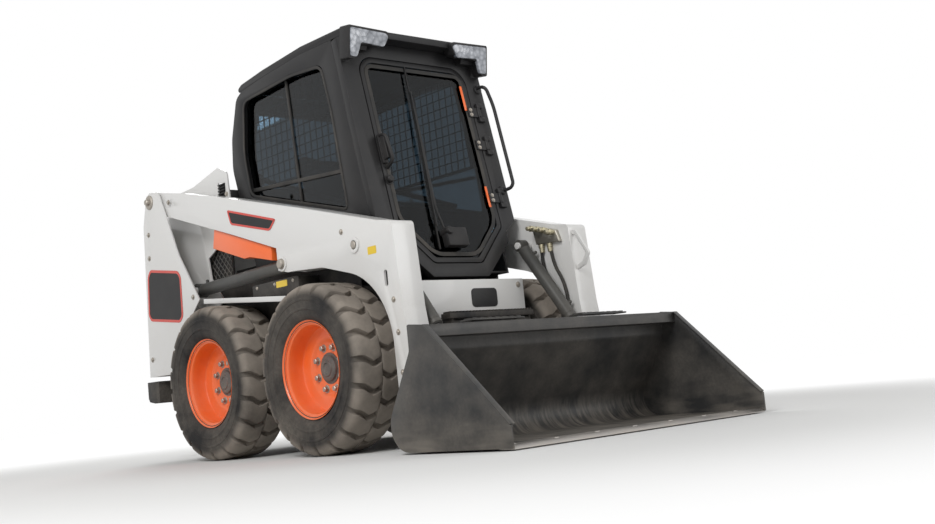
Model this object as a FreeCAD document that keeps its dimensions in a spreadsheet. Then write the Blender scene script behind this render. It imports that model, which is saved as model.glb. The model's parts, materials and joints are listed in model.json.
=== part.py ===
import FreeCAD, Part

import math
import os

import Sketcher
from FreeCAD import Placement, Rotation, Vector

# Skid steer loader with a bucket, all lengths in millimetres.
# +X forward, +Y to the machine's left, +Z up. The origin is on the ground under the middle of the machine.
# Stations are measured forward from the rear axle, or from the front axle where a name says so.

SIZES = [
    # main dimensions
    ("wheelbase", 899, "rear axle to front axle"),
    ("tail_reach", 880, "rear axle back to the tailgate's rear face"),
    ("edge_reach", 1326, "front axle forward to the bucket's cutting edge"),
    ("wheel_plane", 605, "middle plane of a wheel from the centre line"),
    # tyres and rims
    ("tyre_radius", 387, "to the top of a lug; the axles stand as high"),
    ("tread_base_radius", 362, "to the floor between lugs"),
    ("tyre_half_width", 132, "widest place of the side wall"),
    ("shoulder_half_width", 113, "where the side wall meets the tread"),
    ("bead_radius", 209.3, "inside of the tyre"),
    ("lug_count", 20, "lugs on one side of the tread"),
    ("lug_angle", 13.8, "one lug's share of the tread, in degrees"),
    ("rim_radius", 222, "outside of the rim's flange"),
    ("rim_half_width", 112, "flange to middle plane"),
    ("rim_plate", 7, "thickness of rim and disc"),
    ("disc_set", 12, "disc outboard of the middle plane"),
    ("hub_cap_radius", 62, "hub cap"),
    ("hub_cap_height", 46, "hub cap beyond the disc"),
    ("hub_radius", 56, "wheel hub behind the disc"),
    ("hub_depth", 75, "wheel hub inboard of the middle plane"),
    ("axle_tube_radius", 66, "axle housing"),
    ("axle_flange_radius", 88, "flange of the housing on the chain case"),
    ("axle_flange_thickness", 14, "flange of the housing"),
    # chassis
    ("tub_half_width", 440, "outside of the tub's side"),
    ("tub_plate", 10, "tub plate"),
    ("belly_height", 185, "ground clearance"),
    ("tub_rear", 740, "rear axle back to the tub's rear wall"),
    ("tub_rear_height", 300, "lowest place of the tub's rear wall"),
    ("belly_rear", 450, "rear axle back to where the belly rises"),
    ("tub_front", 201, "front axle forward to the tub's side end"),
    ("nose_front", 281, "front axle forward to the nose"),
    ("nose_half_width", 385, "outside of the nose"),
    ("tub_top", 920, "top of the tub's sides"),
    ("nose_top", 745, "top of the nose"),
    ("chain_case_width", 120, "chain case inside the tub"),
    ("chain_case_low", 250, "chain case bottom"),
    ("chain_case_high", 520, "chain case top"),
    ("seat_clearance", 0.3, "between pieces that rest on each other"),
    ("panel_thickness", 6, "front panel plate"),
    ("panel_low", 500, "bottom of the front panel"),
    # fenders
    ("fender_outer", 622, "outer edge of the fenders"),
    ("fender_rear_height", 828, "fender top at its rear end"),
    ("fender_front_height", 748, "fender top at its front end"),
    ("fender_plate", 8, "fender plate"),
    ("fender_lip", 26, "depth of the fender's edge"),
    ("cover_width", 120, "side covers beyond the tub"),
    ("cover_height", 846, "top of the side covers"),
    # lift arms and the uprights that carry them
    ("arm_inner", 483, "inner face of a lift arm"),
    ("arm_width", 123, "across a lift arm"),
    ("arm_clearance", 6, "between a lift arm and the uprights' plates"),
    ("upright_plate", 8, "plates of the tail uprights"),
    ("pivot_back", 661, "rear axle back to the lift arms' pivot"),
    ("pivot_height", 1427, "lift arms' pivot above the ground"),
    ("pivot_pin_radius", 25, "pin of the lift arms"),
    ("pin_clearance", 0.05, "radial clearance of a pin in its bore"),
    ("hinge_ahead", 556, "front axle forward to the bucket hinge pin"),
    ("hinge_height", 210, "bucket hinge pin above the ground"),
    ("hinge_pin_radius", 22, "bucket hinge pin"),
    ("boss_radius", 36, "bosses on a lift arm's outer face"),
    ("boss_height", 8, "bosses on a lift arm's outer face"),
    ("arm_end_radius", 50, "round end of a lift arm about the bucket hinge"),
    ("cross_tube_ahead", 441, "front axle forward to the arms' cross tube"),
    ("cross_tube_height", 355, "arms' cross tube above the ground"),
    ("cross_tube_radius", 45, "arms' cross tube"),
    # lift cylinders
    ("lift_base_back", 300, "rear axle back to the lift cylinders' base pin"),
    ("lift_base_height", 888, "lift cylinders' base pin above the ground"),
    ("lift_eye_behind", 312, "front axle back to the lift rods' eye"),
    ("lift_eye_height", 907, "lift rods' eye above the ground"),
    ("lift_barrel_radius", 33, "lift cylinder barrel"),
    ("lift_rod_radius", 20, "lift cylinder rod"),
    ("lift_eye_radius", 38, "eyes of the lift cylinder"),
    ("lift_eye_width", 56, "eyes of the lift cylinder, along the pin"),
    ("lift_pin_radius", 19, "base pin of the lift cylinder"),
    ("eye_side_clearance", 4, "beside an eye"),
    # tilt cylinders
    ("tilt_plane", 425, "tilt cylinders from the centre line"),
    ("tilt_base_ahead", 263, "front axle forward to the tilt cylinders' upper pin"),
    ("tilt_base_height", 910, "tilt cylinders' upper pin above the ground"),
    ("tilt_eye_ahead", 621, "front axle forward to the tilt rods' eye"),
    ("tilt_eye_height", 424, "tilt rods' eye above the ground"),
    ("tilt_barrel_radius", 31, "tilt cylinder barrel"),
    ("tilt_rod_radius", 17, "tilt cylinder rod"),
    ("tilt_eye_radius", 30, "eyes of the tilt cylinder"),
    ("tilt_eye_width", 44, "eyes of the tilt cylinder, along the pin"),
    ("tilt_pin_radius", 17, "upper pin of the tilt cylinder"),
    ("tilt_stroke_in", 94, "travel of the tilt rod from level to full rollback"),
    # bucket and its carrier
    ("bucket_half_width", 787.5, "outside of the bucket's side plates"),
    ("bucket_plate", 9, "bucket sheet"),
    ("side_plate", 12, "bucket side plates"),
    ("floor_height", 8, "underside of the bucket floor"),
    ("edge_depth", 150, "cutting edge, front to back"),
    ("edge_plate", 14, "cutting edge thickness"),
    ("edge_height", 4, "underside of the cutting edge"),
    ("carrier_plate", 14, "carrier plates"),
    # cab
    ("cab_half_width", 440, "outside of the cab's sides"),
    ("cab_wall", 30, "cab side thickness"),
    ("cab_lean", 11.6, "lean of the cab's front, in degrees"),
    ("cab_foot_ahead", 278, "front axle forward to the foot of the cab's front"),
    ("cab_foot_height", 760, "foot of the cab's front above the ground"),
    ("cab_front_top", 1935, "top of the cab's front, under the roof"),
    ("cab_front_depth", 40, "cab front frame, front to back"),
    ("glass_thickness", 6, "window glass"),
    ("floor_plate", 10, "cab floor"),
    ("screen_pitch", 50, "between bars of a window screen"),
    ("screen_bar", 5, "bars of a window screen"),
    ("door_half_width", 335, "door leaf"),
    ("door_head", 84, "front frame above the door leaf, up the leaning front"),
    ("door_corner", 90, "upper corners of the door leaf"),
    ("door_gap", 5, "round the door leaf"),
    ("door_rim", 24, "door frame beside its glass"),
    ("door_depth", 26, "door leaf, front to back"),
    # tail
    ("tie_hole_radius", 16, "hole of a tie-down ear"),
    ("hitch_span", 600, "between the bumper's bolt holes, across"),
    ("hitch_rise", 50, "between the bumper's bolt holes, up"),
    ("hitch_height", 395, "middle of the bumper's bolt holes above the ground"),
    ("hitch_hole_radius", 8.75, "bolt holes of the bumper"),
    ("hitch_hole_depth", 60, "bolt holes of the bumper"),
    ("tailgate_half_width", 456, "tailgate"),
    ("tailgate_depth", 66, "tailgate, front to back"),
    ("tailgate_low", 462, "bottom of the tailgate"),
    ("tailgate_high", 1300, "top of the tailgate"),
    ("hood_half_width", 460, "engine hood"),
    ("hood_high", 1400, "top of the engine hood"),
    ("hood_plate", 12, "engine hood thickness"),
]


class Size:
    """A length with the expression that ties it to the sheet."""

    def __init__(self, value, text):
        self.value = float(value)
        self.text = text

    def __add__(self, other):
        other = size(other)
        return Size(self.value + other.value, "(%s + %s)" % (self.text, other.text))

    def __sub__(self, other):
        other = size(other)
        return Size(self.value - other.value, "(%s - %s)" % (self.text, other.text))

    def __mul__(self, other):
        other = size(other)
        return Size(self.value * other.value, "(%s * %s)" % (self.text, other.text))

    def __truediv__(self, other):
        other = size(other)
        return Size(self.value / other.value, "(%s / %s)" % (self.text, other.text))

    def __neg__(self):
        return Size(-self.value, "(0 - %s)" % self.text)

    def __rtruediv__(self, other):
        return size(other) / self

    def __radd__(self, other):
        return size(other) + self

    def __rsub__(self, other):
        return size(other) - self

    def __rmul__(self, other):
        return size(other) * self

    def __float__(self):
        return self.value


def size(value):
    if isinstance(value, Size):
        return value
    return Size(value, repr(float(value)) if value >= 0 else "(0 - %r)" % -float(value))


def length_of(across, up):
    return Size(math.hypot(float(across), float(up)), "hypot(%s; %s)" % (size(across).text, size(up).text))


def at_angle(radius, degrees):
    """A place at a radius, turned from straight down by an angle in degrees."""
    turn = math.radians(float(degrees))
    angle = "(%s) * 1 deg" % size(degrees).text
    return (
        Size(float(radius) * math.sin(turn), "%s * sin(%s)" % (size(radius).text, angle)),
        Size(-float(radius) * math.cos(turn), "0 - %s * cos(%s)" % (size(radius).text, angle)),
    )


doc = FreeCAD.newDocument("skid_steer_loader")
sheet = doc.addObject("Spreadsheet::Sheet", "sizes")


class Dimensions:
    """The sheet's sizes by name."""


dim = Dimensions()
for row, (alias, number, meaning) in enumerate(SIZES, start=1):
    sheet.set("A%d" % row, meaning)
    sheet.set("B%d" % row, str(number))
    sheet.setAlias("B%d" % row, alias)
    setattr(dim, alias, Size(number, "sizes." + alias))
doc.recompute()

nodes = []
front = dim.wheelbase
axle_height = dim.tyre_radius
rear_axle_x = (dim.tail_reach - dim.wheelbase - dim.edge_reach) / 2


def bind(thing, path, value):
    value = size(value)
    if "sizes." in value.text:
        thing.setExpression(path, value.text)
    else:
        head, _, tail = path.rpartition(".")
        if not head:
            setattr(thing, tail, value.value)
        else:
            thing.setExpression(path, value.text)


def node(thing, label):
    thing.Label = label
    nodes.append(thing)
    return thing


# Sketches
PLANES = {"side": "XZ_Plane", "plan": "XY_Plane", "front": "YZ_Plane"}


def corner_parts(points):
    """Where each rounded corner of a closed outline starts, ends and has its centre."""
    parts = []
    count = len(points)
    for index, point in enumerate(points):
        here = Vector(float(point[0]), float(point[1]), 0)
        before = points[index - 1]
        after = points[(index + 1) % count]
        to_before = (Vector(float(before[0]), float(before[1]), 0) - here).normalize()
        to_after = (Vector(float(after[0]), float(after[1]), 0) - here).normalize()
        if len(point) < 3:
            parts.append((here, here, None, 0))
            continue
        radius = float(point[2])
        half = to_before.getAngle(to_after) / 2
        reach = radius / math.tan(half)
        middle = here + (to_before + to_after).normalize() * (radius / math.sin(half))
        parts.append((here + to_before * reach, here + to_after * reach, middle, radius))
    return parts


def add_outline(sketch, points):
    """A closed outline. A point is across, up and, where the corner is round, its radius."""
    parts = corner_parts(points)
    count = len(points)
    lines = []
    for index in range(count):
        start = parts[index][1]
        end = parts[(index + 1) % count][0]
        lines.append(sketch.addGeometry(Part.LineSegment(start, end), False))
    rules = []
    bound = []

    def hold(kind, geometry, position, value):
        value = size(value)
        rules.append(Sketcher.Constraint(kind, -1, 1, geometry, position, value.value))
        bound.append((len(rules) - 1, value))

    for index, point in enumerate(points):
        incoming = lines[index - 1]
        outgoing = lines[index]
        enter, leave, middle, radius = parts[index]
        if middle is None:
            rules.append(Sketcher.Constraint("Coincident", incoming, 2, outgoing, 1))
            hold("DistanceX", outgoing, 1, point[0])
            hold("DistanceY", outgoing, 1, point[1])
            continue
        corner = sketch.addGeometry(Part.Point(Vector(float(point[0]), float(point[1]), 0)), True)
        hold("DistanceX", corner, 1, point[0])
        hold("DistanceY", corner, 1, point[1])
        rules.append(Sketcher.Constraint("PointOnObject", corner, 1, incoming))
        rules.append(Sketcher.Constraint("PointOnObject", corner, 1, outgoing))
        left_turn = (enter - middle).cross(leave - middle).z > 0
        first, last = (enter, leave) if left_turn else (leave, enter)
        angles = [math.atan2(p.y - middle.y, p.x - middle.x) for p in (first, last)]
        if angles[1] < angles[0]:
            angles[1] += 2 * math.pi
        circle = Part.Circle(middle, Vector(0, 0, 1), radius)
        arc = sketch.addGeometry(Part.ArcOfCircle(circle, angles[0], angles[1]), False)
        enter_end, leave_end = (1, 2) if left_turn else (2, 1)
        rules.append(Sketcher.Constraint("Tangent", incoming, 2, arc, enter_end))
        rules.append(Sketcher.Constraint("Tangent", arc, leave_end, outgoing, 1))
        rules.append(Sketcher.Constraint("Radius", arc, radius))
        bound.append((len(rules) - 1, size(point[2])))
    add_rules(sketch, rules, bound)


def add_circle(sketch, across, up, radius):
    centre = Vector(float(across), float(up), 0)
    circle = sketch.addGeometry(Part.Circle(centre, Vector(0, 0, 1), float(radius)), False)
    rules = [
        Sketcher.Constraint("DistanceX", -1, 1, circle, 3, float(across)),
        Sketcher.Constraint("DistanceY", -1, 1, circle, 3, float(up)),
        Sketcher.Constraint("Radius", circle, float(radius)),
    ]
    add_rules(sketch, rules, list(enumerate((size(across), size(up), size(radius)))))


def add_rules(sketch, rules, bound):
    first = sketch.ConstraintCount
    sketch.addConstraint(rules)
    for index, value in bound:
        if "sizes." in value.text:
            sketch.setExpression("Constraints[%d]" % (first + index), value.text)


def add_sketch(body, plane, offset, loops):
    sketch = body.newObject("Sketcher::SketchObject", body.Name + "_sketch")
    role = PLANES[plane]
    origin_plane = [feature for feature in body.Origin.OriginFeatures if feature.Role == role][0]
    sketch.AttachmentSupport = [(origin_plane, "")]
    sketch.MapMode = "FlatFace"
    if float(offset) or "sizes." in size(offset).text:
        sketch.AttachmentOffset = Placement(Vector(0, 0, float(offset)), Rotation())
        sketch.setExpression("AttachmentOffset.Base.z", size(offset).text)
    for loop in loops:
        if loop[0] == "circle":
            add_circle(sketch, *loop[1:])
        else:
            add_outline(sketch, loop)
    return sketch


def shifted(loop):
    """Stations of a loop turned into the machine's own x."""
    if loop[0] == "circle":
        return ("circle", loop[1] + rear_axle_x) + tuple(loop[2:])
    return [(point[0] + rear_axle_x,) + tuple(point[1:]) for point in loop]


def prism(name, plane, low, high, outline, holes=(), stations=True):
    """A plate or block between two parallel planes; its outline is drawn on the plane of the name."""
    body = doc.addObject("PartDesign::Body", name)
    loops = [outline] + list(holes)
    low = size(low)
    high = size(high)
    if stations and plane in ("side", "plan"):
        loops = [shifted(loop) for loop in loops]
    if plane == "side":
        offset = -high
    elif plane == "front" and stations:
        offset = low + rear_axle_x
    else:
        offset = low
    sketch = add_sketch(body, plane, offset, loops)
    pad = body.newObject("PartDesign::Pad", name + "_pad")
    pad.Profile = sketch
    bind(pad, "Length", high - low)
    sketch.Visibility = False
    return body


def turned(name, outline, axis="V_Axis"):
    """A solid of revolution about Y: an outline of radius against distance along the axis."""
    body = doc.addObject("PartDesign::Body", name)
    sketch = add_sketch(body, "plan", 0, [outline])
    turn = body.newObject("PartDesign::Revolution", name + "_turn")
    turn.Profile = sketch
    turn.ReferenceAxis = (sketch, [axis])
    turn.Angle = 360
    return body


def box(name, start, end, low_y, high_y, low_z, high_z):
    block = doc.addObject("Part::Box", name)
    bind(block, "Length", size(end) - start)
    bind(block, "Width", size(high_y) - low_y)
    bind(block, "Height", size(high_z) - low_z)
    bind(block, "Placement.Base.x", size(start) + rear_axle_x)
    bind(block, "Placement.Base.y", low_y)
    bind(block, "Placement.Base.z", low_z)
    return block


def across(name, station, height, low_y, high_y, radius):
    """A round bar that lies across the machine."""
    bar = doc.addObject("Part::Cylinder", name)
    bar.Placement = Placement(Vector(), Rotation(Vector(1, 0, 0), -90))
    bind(bar, "Radius", radius)
    bind(bar, "Height", size(high_y) - low_y)
    bind(bar, "Placement.Base.x", size(station) + rear_axle_x)
    bind(bar, "Placement.Base.y", low_y)
    bind(bar, "Placement.Base.z", height)
    return bar


def along(name, start, end, y, radius, skip=0, stop=None):
    """A round bar from one station and height towards another, in a plane of constant y."""
    run = size(end[0]) - start[0]
    rise = size(end[1]) - start[1]
    span = length_of(run, rise)
    stop = span if stop is None else stop
    bar = doc.addObject("Part::Cylinder", name)
    angle = math.degrees(math.atan2(float(rise), float(run)))
    bar.Placement = Placement(Vector(), Rotation(Vector(0, 1, 0), 90 - angle))
    bind(bar, "Radius", radius)
    bind(bar, "Height", size(stop) - skip)
    bar.setExpression("Placement.Rotation.Angle", "90 deg - atan2(%s; %s)" % (rise.text, run.text))
    bind(bar, "Placement.Base.x", size(start[0]) + rear_axle_x + run * skip / span)
    bind(bar, "Placement.Base.y", y)
    bind(bar, "Placement.Base.z", size(start[1]) + rise * skip / span)
    return bar


def fuse(name, parts):
    if len(parts) == 1:
        return parts[0]
    whole = doc.addObject("Part::MultiFuse", name)
    whole.Shapes = parts
    return whole


def cut(name, base, tools):
    result = doc.addObject("Part::Cut", name)
    result.Base = base
    result.Tool = fuse(name + "_tools", tools)
    return result


def mirrored(name, source):
    """The same piece on the machine's other side."""
    other = doc.addObject("Part::Mirroring", name)
    other.Source = source
    other.Base = Vector(0, 0, 0)
    other.Normal = Vector(0, 1, 0)
    return other


def both(name, source):
    """A piece and its twin on the other side, as two solids."""
    pair = doc.addObject("Part::Compound", name)
    pair.Links = [source, mirrored(name + "_twin", source)]
    return pair


def placed(name, source, station, y, height):
    copy = doc.addObject("Part::Compound", name)
    copy.Links = [source]
    bind(copy, "Placement.Base.x", size(station) + rear_axle_x)
    bind(copy, "Placement.Base.y", y)
    bind(copy, "Placement.Base.z", height)
    return copy


# Wheels: each turns about Y at its own centre; the master is the left front wheel, outboard towards +Y
def flat_sided_ring(name, section, sides):
    """A ring about Y made of flat faces; its section's corners are radius and distance along Y."""
    rounds = []
    for radius, y in section:
        turns = [at_angle(radius, 360 / sides * step) for step in range(int(float(sides)))]
        rounds.append([Vector(float(x), float(y), float(z)) for x, z in turns])
    faces = []
    for index, here in enumerate(rounds):
        before = rounds[index - 1]
        for step in range(len(here)):
            corners = [before[step - 1], before[step], here[step], here[step - 1], before[step - 1]]
            faces.append(Part.Face(Part.makePolygon(corners)))
    solid = Part.Solid(Part.Shell(faces))
    if solid.Volume < 0:
        solid.reverse()
    ring = doc.addObject("Part::Feature", name)
    ring.Shape = solid
    return ring


def tyre_master():
    bead_side = dim.rim_half_width - dim.rim_plate
    bore = dim.bead_radius / math.cos(math.pi / (2 * float(dim.lug_count)))
    section = [
        (bore, -bead_side),
        (dim.rim_radius + 4, -bead_side),
        (dim.tread_base_radius - 34, -dim.tyre_half_width),
        (dim.tread_base_radius, -dim.shoulder_half_width),
        (dim.tread_base_radius, dim.shoulder_half_width),
        (dim.tread_base_radius - 34, dim.tyre_half_width),
        (dim.rim_radius + 4, bead_side),
        (bore, bead_side),
    ]
    body = doc.addObject("PartDesign::Body", "tyre")
    body.BaseFeature = flat_sided_ring("tyre_carcass", section, dim.lug_count * 2)
    spin = [feature for feature in body.Origin.OriginFeatures if feature.Role == "Y_Axis"][0]
    foot = dim.tread_base_radius - 6
    for low, first in ((size(0), size(0)), (-dim.shoulder_half_width, 180 / dim.lug_count)):
        last = first + dim.lug_angle
        lug = [
            at_angle(dim.tyre_radius, first),
            at_angle(dim.tyre_radius, last),
            at_angle(foot, last),
            at_angle(foot, first),
        ]
        sketch = add_sketch(body, "side", -(low + dim.shoulder_half_width), [lug])
        pad = body.newObject("PartDesign::Pad", "tyre_lug")
        pad.Profile = sketch
        bind(pad, "Length", dim.shoulder_half_width)
        pattern = body.newObject("PartDesign::PolarPattern", "tyre_lugs")
        pattern.Originals = [pad]
        pattern.Axis = (spin, [""])
        pattern.Angle = 360
        bind(pattern, "Occurrences", dim.lug_count)
        body.Tip = pattern
    return body


def rim_master():
    plate = dim.rim_plate
    edge = dim.rim_half_width
    inner = dim.bead_radius - dim.seat_clearance
    section = [
        (dim.hub_radius, -dim.hub_depth + dim.seat_clearance),
        (dim.hub_radius, dim.disc_set - 4),
        (inner - 52, dim.disc_set - 4),
        (inner - 12, dim.disc_set + 22),
        (inner - plate, dim.disc_set + 22),
        (inner - plate, -edge),
        (dim.rim_radius, -edge),
        (dim.rim_radius, -edge + plate - dim.seat_clearance),
        (inner, -edge + plate - dim.seat_clearance),
        (inner, edge - plate + dim.seat_clearance),
        (dim.rim_radius, edge - plate + dim.seat_clearance),
        (dim.rim_radius, edge),
        (inner - plate, edge),
        (inner - plate, dim.disc_set + 32),
        (inner - 16, dim.disc_set + 32),
        (inner - 56, dim.disc_set + 6),
        (dim.hub_cap_radius, dim.disc_set + 6),
        (dim.hub_cap_radius, dim.disc_set + dim.hub_cap_height - 12),
        (dim.hub_cap_radius - 14, dim.disc_set + dim.hub_cap_height),
        (0, dim.disc_set + dim.hub_cap_height),
        (0, -dim.hub_depth + dim.seat_clearance),
    ]
    return turned("rim", section)


tyre_left = tyre_master()
rim_left = rim_master()
tyre_right = mirrored("tyre_right_master", tyre_left)
rim_right = mirrored("rim_right_master", rim_left)
WHEELS = [
    # name, station, side, tyre, rim
    ("front_right", front, -1, tyre_right, rim_right),
    ("front_left", front, 1, tyre_left, rim_left),
    ("rear_right", size(0), -1, tyre_right, rim_right),
    ("rear_left", size(0), 1, tyre_left, rim_left),
]
for where, station, side, tyre, rim in WHEELS:
    for kind, master in (("tyre", tyre), ("rim", rim)):
        name = "%s_%s" % (kind, where)
        node(placed(name + "_piece", master, station, dim.wheel_plane * side, axle_height), name)

# Chassis: a tub open on top with a narrower nose and a chain case along each side
plate = dim.tub_plate
tub_outline = [
    (-dim.tub_rear, dim.tub_rear_height),
    (-dim.belly_rear, dim.belly_height),
    (front + dim.tub_front, dim.belly_height),
    (front + dim.tub_front, dim.nose_top),
    (front + 60, dim.nose_top),
    (front + 60, dim.tub_top),
    (-dim.tub_rear, dim.tub_top),
]
tub_hollow = [
    (-dim.tub_rear + plate, dim.tub_rear_height + plate),
    (-dim.belly_rear, dim.belly_height + plate),
    (front + dim.tub_front + 5, dim.belly_height + plate),
    (front + dim.tub_front + 5, dim.tub_top + 5),
    (-dim.tub_rear + plate, dim.tub_top + 5),
]
nose_outline = [
    (front + dim.tub_front - plate, dim.belly_height),
    (front + dim.nose_front - 70, dim.belly_height),
    (front + dim.nose_front, dim.belly_height + 90),
    (front + dim.nose_front, dim.nose_top),
    (front + dim.tub_front - plate, dim.nose_top),
]
nose_hollow = [
    (front + dim.tub_front - plate - 5, dim.belly_height + plate),
    (front + dim.nose_front - 70 - plate / 2, dim.belly_height + plate),
    (front + dim.nose_front - plate, dim.belly_height + 90 + plate / 2),
    (front + dim.nose_front - plate, dim.nose_top + 5),
    (front + dim.tub_front - plate - 5, dim.nose_top + 5),
]
tub_inner = dim.tub_half_width - plate
tub = cut(
    "tub",
    fuse(
        "tub_outside",
        [
            prism("tub_block", "side", -dim.tub_half_width, dim.tub_half_width, tub_outline),
            prism("nose_block", "side", -dim.nose_half_width, dim.nose_half_width, nose_outline),
        ],
    ),
    [
        prism("tub_inside", "side", -tub_inner, tub_inner, tub_hollow),
        prism("nose_inside", "side", plate - dim.nose_half_width, dim.nose_half_width - plate, nose_hollow),
    ],
)
tub_parts = [tub]
for side in (1, -1):
    low = tub_inner - dim.chain_case_width if side > 0 else -tub_inner
    high = tub_inner if side > 0 else dim.chain_case_width - tub_inner
    case = box("chain_case", -130, front + 130, low, high, dim.chain_case_low, dim.chain_case_high)
    tub_parts.append(case)
    shoulder = box(
        "nose_shoulder",
        front + dim.tub_front - plate,
        front + dim.tub_front,
        dim.nose_half_width - plate if side > 0 else -dim.tub_half_width,
        dim.tub_half_width if side > 0 else plate - dim.nose_half_width,
        dim.belly_height,
        dim.nose_top,
    )
    tub_parts.append(shoulder)
node(fuse("tub_whole", tub_parts), "chassis_tub")

housings = []
tube_end = dim.wheel_plane - dim.hub_depth
for station in (size(0), front):
    tube = across("axle_tube", station, axle_height, dim.tub_half_width, tube_end, dim.axle_tube_radius)
    flange_end = dim.tub_half_width + dim.axle_flange_thickness
    flange = across("axle_flange", station, axle_height, dim.tub_half_width, flange_end, dim.axle_flange_radius)
    housings += [fuse("axle_housing", [tube, flange])]
left_housings = doc.addObject("Part::Compound", "left_housings")
left_housings.Links = housings
node(both("housings", left_housings), "axle_housings")

# Fenders: a sloping shelf on each side with a turned edge
fender_start = -150
fender_end = front - 249
fender_slope = [
    (fender_start, dim.fender_rear_height),
    (fender_end, dim.fender_front_height),
    (fender_end, dim.fender_front_height - dim.fender_plate),
    (fender_start, dim.fender_rear_height - dim.fender_plate),
]
fender_edge = [
    (fender_start, dim.fender_rear_height),
    (fender_end, dim.fender_front_height),
    (fender_end, dim.fender_front_height - dim.fender_lip),
    (fender_start, dim.fender_rear_height - dim.fender_lip),
]
edge_inner = dim.fender_outer - dim.fender_plate
shelf = prism("fender_shelf", "side", dim.tub_half_width, dim.fender_outer, fender_slope)
edge = prism("fender_edge", "side", edge_inner, dim.fender_outer, fender_edge)
node(both("fender_pair", fuse("fender", [shelf, edge])), "fenders")

# Side covers: a box over the wheel's inner edge on each side, between the fender and the lift arm
def fender_top(station):
    """Height just over the fender's slope at a station."""
    share = (station - fender_start) / (fender_end - fender_start)
    fall = (dim.fender_rear_height - dim.fender_front_height) * share
    return dim.fender_rear_height - fall + dim.seat_clearance


cover_low = dim.tub_half_width + dim.seat_clearance
cover_outline = [
    (230, fender_top(230)),
    (230, dim.cover_height, 12),
    (640, dim.cover_height, 12),
    (640, fender_top(640)),
]
cover = prism("cover", "side", cover_low, cover_low + dim.cover_width, cover_outline)
node(both("covers", cover), "side_covers")

# Tail uprights: an outer and an inner plate with a web behind, which carry the lift arms' pivot pin
arm_outer = dim.arm_inner + dim.arm_width
plate = dim.upright_plate
inner_low = dim.arm_inner - dim.arm_clearance - plate
outer_low = arm_outer + dim.arm_clearance
arch = dim.tyre_radius + 82
outer_outline = [
    (-795, 465),
    (-751, 1301, 60),
    (-697, 1468, 20),
    (-560, 1471, 30),
    (-380, 1093, 120),
    (-196, 830),
    (-262, 775),
    (-375, 669, 120),
    (-464, 540, 120),
    (-470, 465),
]
inner_outline = [
    (-790, 465),
    (-746, 1301, 60),
    (-697, 1462, 20),
    (-420, 1474, 120),
    (-150, 1530, 40),
    (-66, 1490, 30),
    (-52, 1340),
    (-160, 1134),
    (-318, 1062),
    (-300, 950),
    (-196, 830),
    (-262, 775),
    (-375, 669, 120),
    (-464, 540, 120),
    (-470, 465),
]
peak_window = [(-165, 1366), (-88, 1358), (-88, 1436), (-160, 1446)]
web_outline = [(-795, 465), (-751, 1301), (-741, 1301), (-785, 465)]
upright = fuse(
    "upright",
    [
        prism("upright_outer", "side", outer_low, outer_low + plate, outer_outline),
        prism("upright_inner", "side", inner_low, inner_low + plate, inner_outline, [peak_window]),
        prism("upright_web", "side", inner_low, outer_low + plate, web_outline),
        across("pivot_pin", -dim.pivot_back, dim.pivot_height, inner_low, outer_low + plate + 8, dim.pivot_pin_radius),
        across("lift_pin", -dim.lift_base_back, dim.lift_base_height, inner_low, outer_low + plate, dim.lift_pin_radius),
        box("upright_foot", -700, -480, dim.tub_half_width, inner_low + plate, 480, 640),
        box("upright_shelf", -700, -640, dim.tub_half_width, inner_low + plate, 860, 900),
    ],
)
node(upright, "tail_upright_left")
gate_axis = (-804, -462)
# gate hinges: lowest and highest place of each knuckle
GATE_HINGES = [(640, 700), (1020, 1080)]
right_upright = [mirrored("upright_twin", upright)]
for low, high in GATE_HINGES:
    for start, end in ((low - 34, low - 0.5), (high + 0.5, high + 34)):
        right_upright.append(
            prism("gate_hinge_block", "side", -469, -450, [(-812, start), (-764, start), (-764, end), (-812, end)])
        )
node(fuse("right_upright", right_upright), "tail_upright_right")

# Rear bumper across the tail with two tie-down ears
bumper_outline = [(-800, 320), (-860, 330), (-872, 350), (-872, 440), (-740, 440), (-740, 320)]
bumper = prism("bumper_bar", "side", -600, 600, bumper_outline)
hitch_holes = []
for y in (-dim.hitch_span / 2, dim.hitch_span / 2):
    for rise in (-dim.hitch_rise / 2, dim.hitch_rise / 2):
        hole = doc.addObject("Part::Cylinder", "hitch_hole")
        bind(hole, "Radius", dim.hitch_hole_radius)
        bind(hole, "Height", dim.hitch_hole_depth)
        hole.Placement = Placement(Vector(), Rotation(Vector(0, 1, 0), 90))
        bind(hole, "Placement.Base.x", rear_axle_x - 872)
        bind(hole, "Placement.Base.y", y)
        bind(hole, "Placement.Base.z", dim.hitch_height + rise)
        hitch_holes.append(hole)
ear_outline = [(-868, 322), (-800, 322), (-800, 286, 20), (-850, 262, 20), (-868, 286, 20)]
ears = [
    prism("tie_ear_left", "side", 340, 360, ear_outline, [("circle", -836, 294, dim.tie_hole_radius)]),
    prism("tie_ear_right", "side", -360, -340, ear_outline, [("circle", -836, 294, dim.tie_hole_radius)]),
]
node(cut("bumper_cut", fuse("bumper", [bumper] + ears), hitch_holes), "rear_bumper")

# Engine: one block at its real place
node(box("engine", -430, 30, -240, 240, dim.belly_height + dim.tub_plate + dim.seat_clearance, 1010), "engine_block")

# Side grilles over the engine bay
grille_low = dim.tub_top + dim.seat_clearance
grille_outline = [(-430, grille_low), (-128, grille_low), (-128, 1052), (-170, 1110), (-430, 1160)]
grille = prism("grille", "side", dim.tub_half_width - 9, dim.tub_half_width - 1, grille_outline)
node(both("grilles", grille), "side_grilles")

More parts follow.
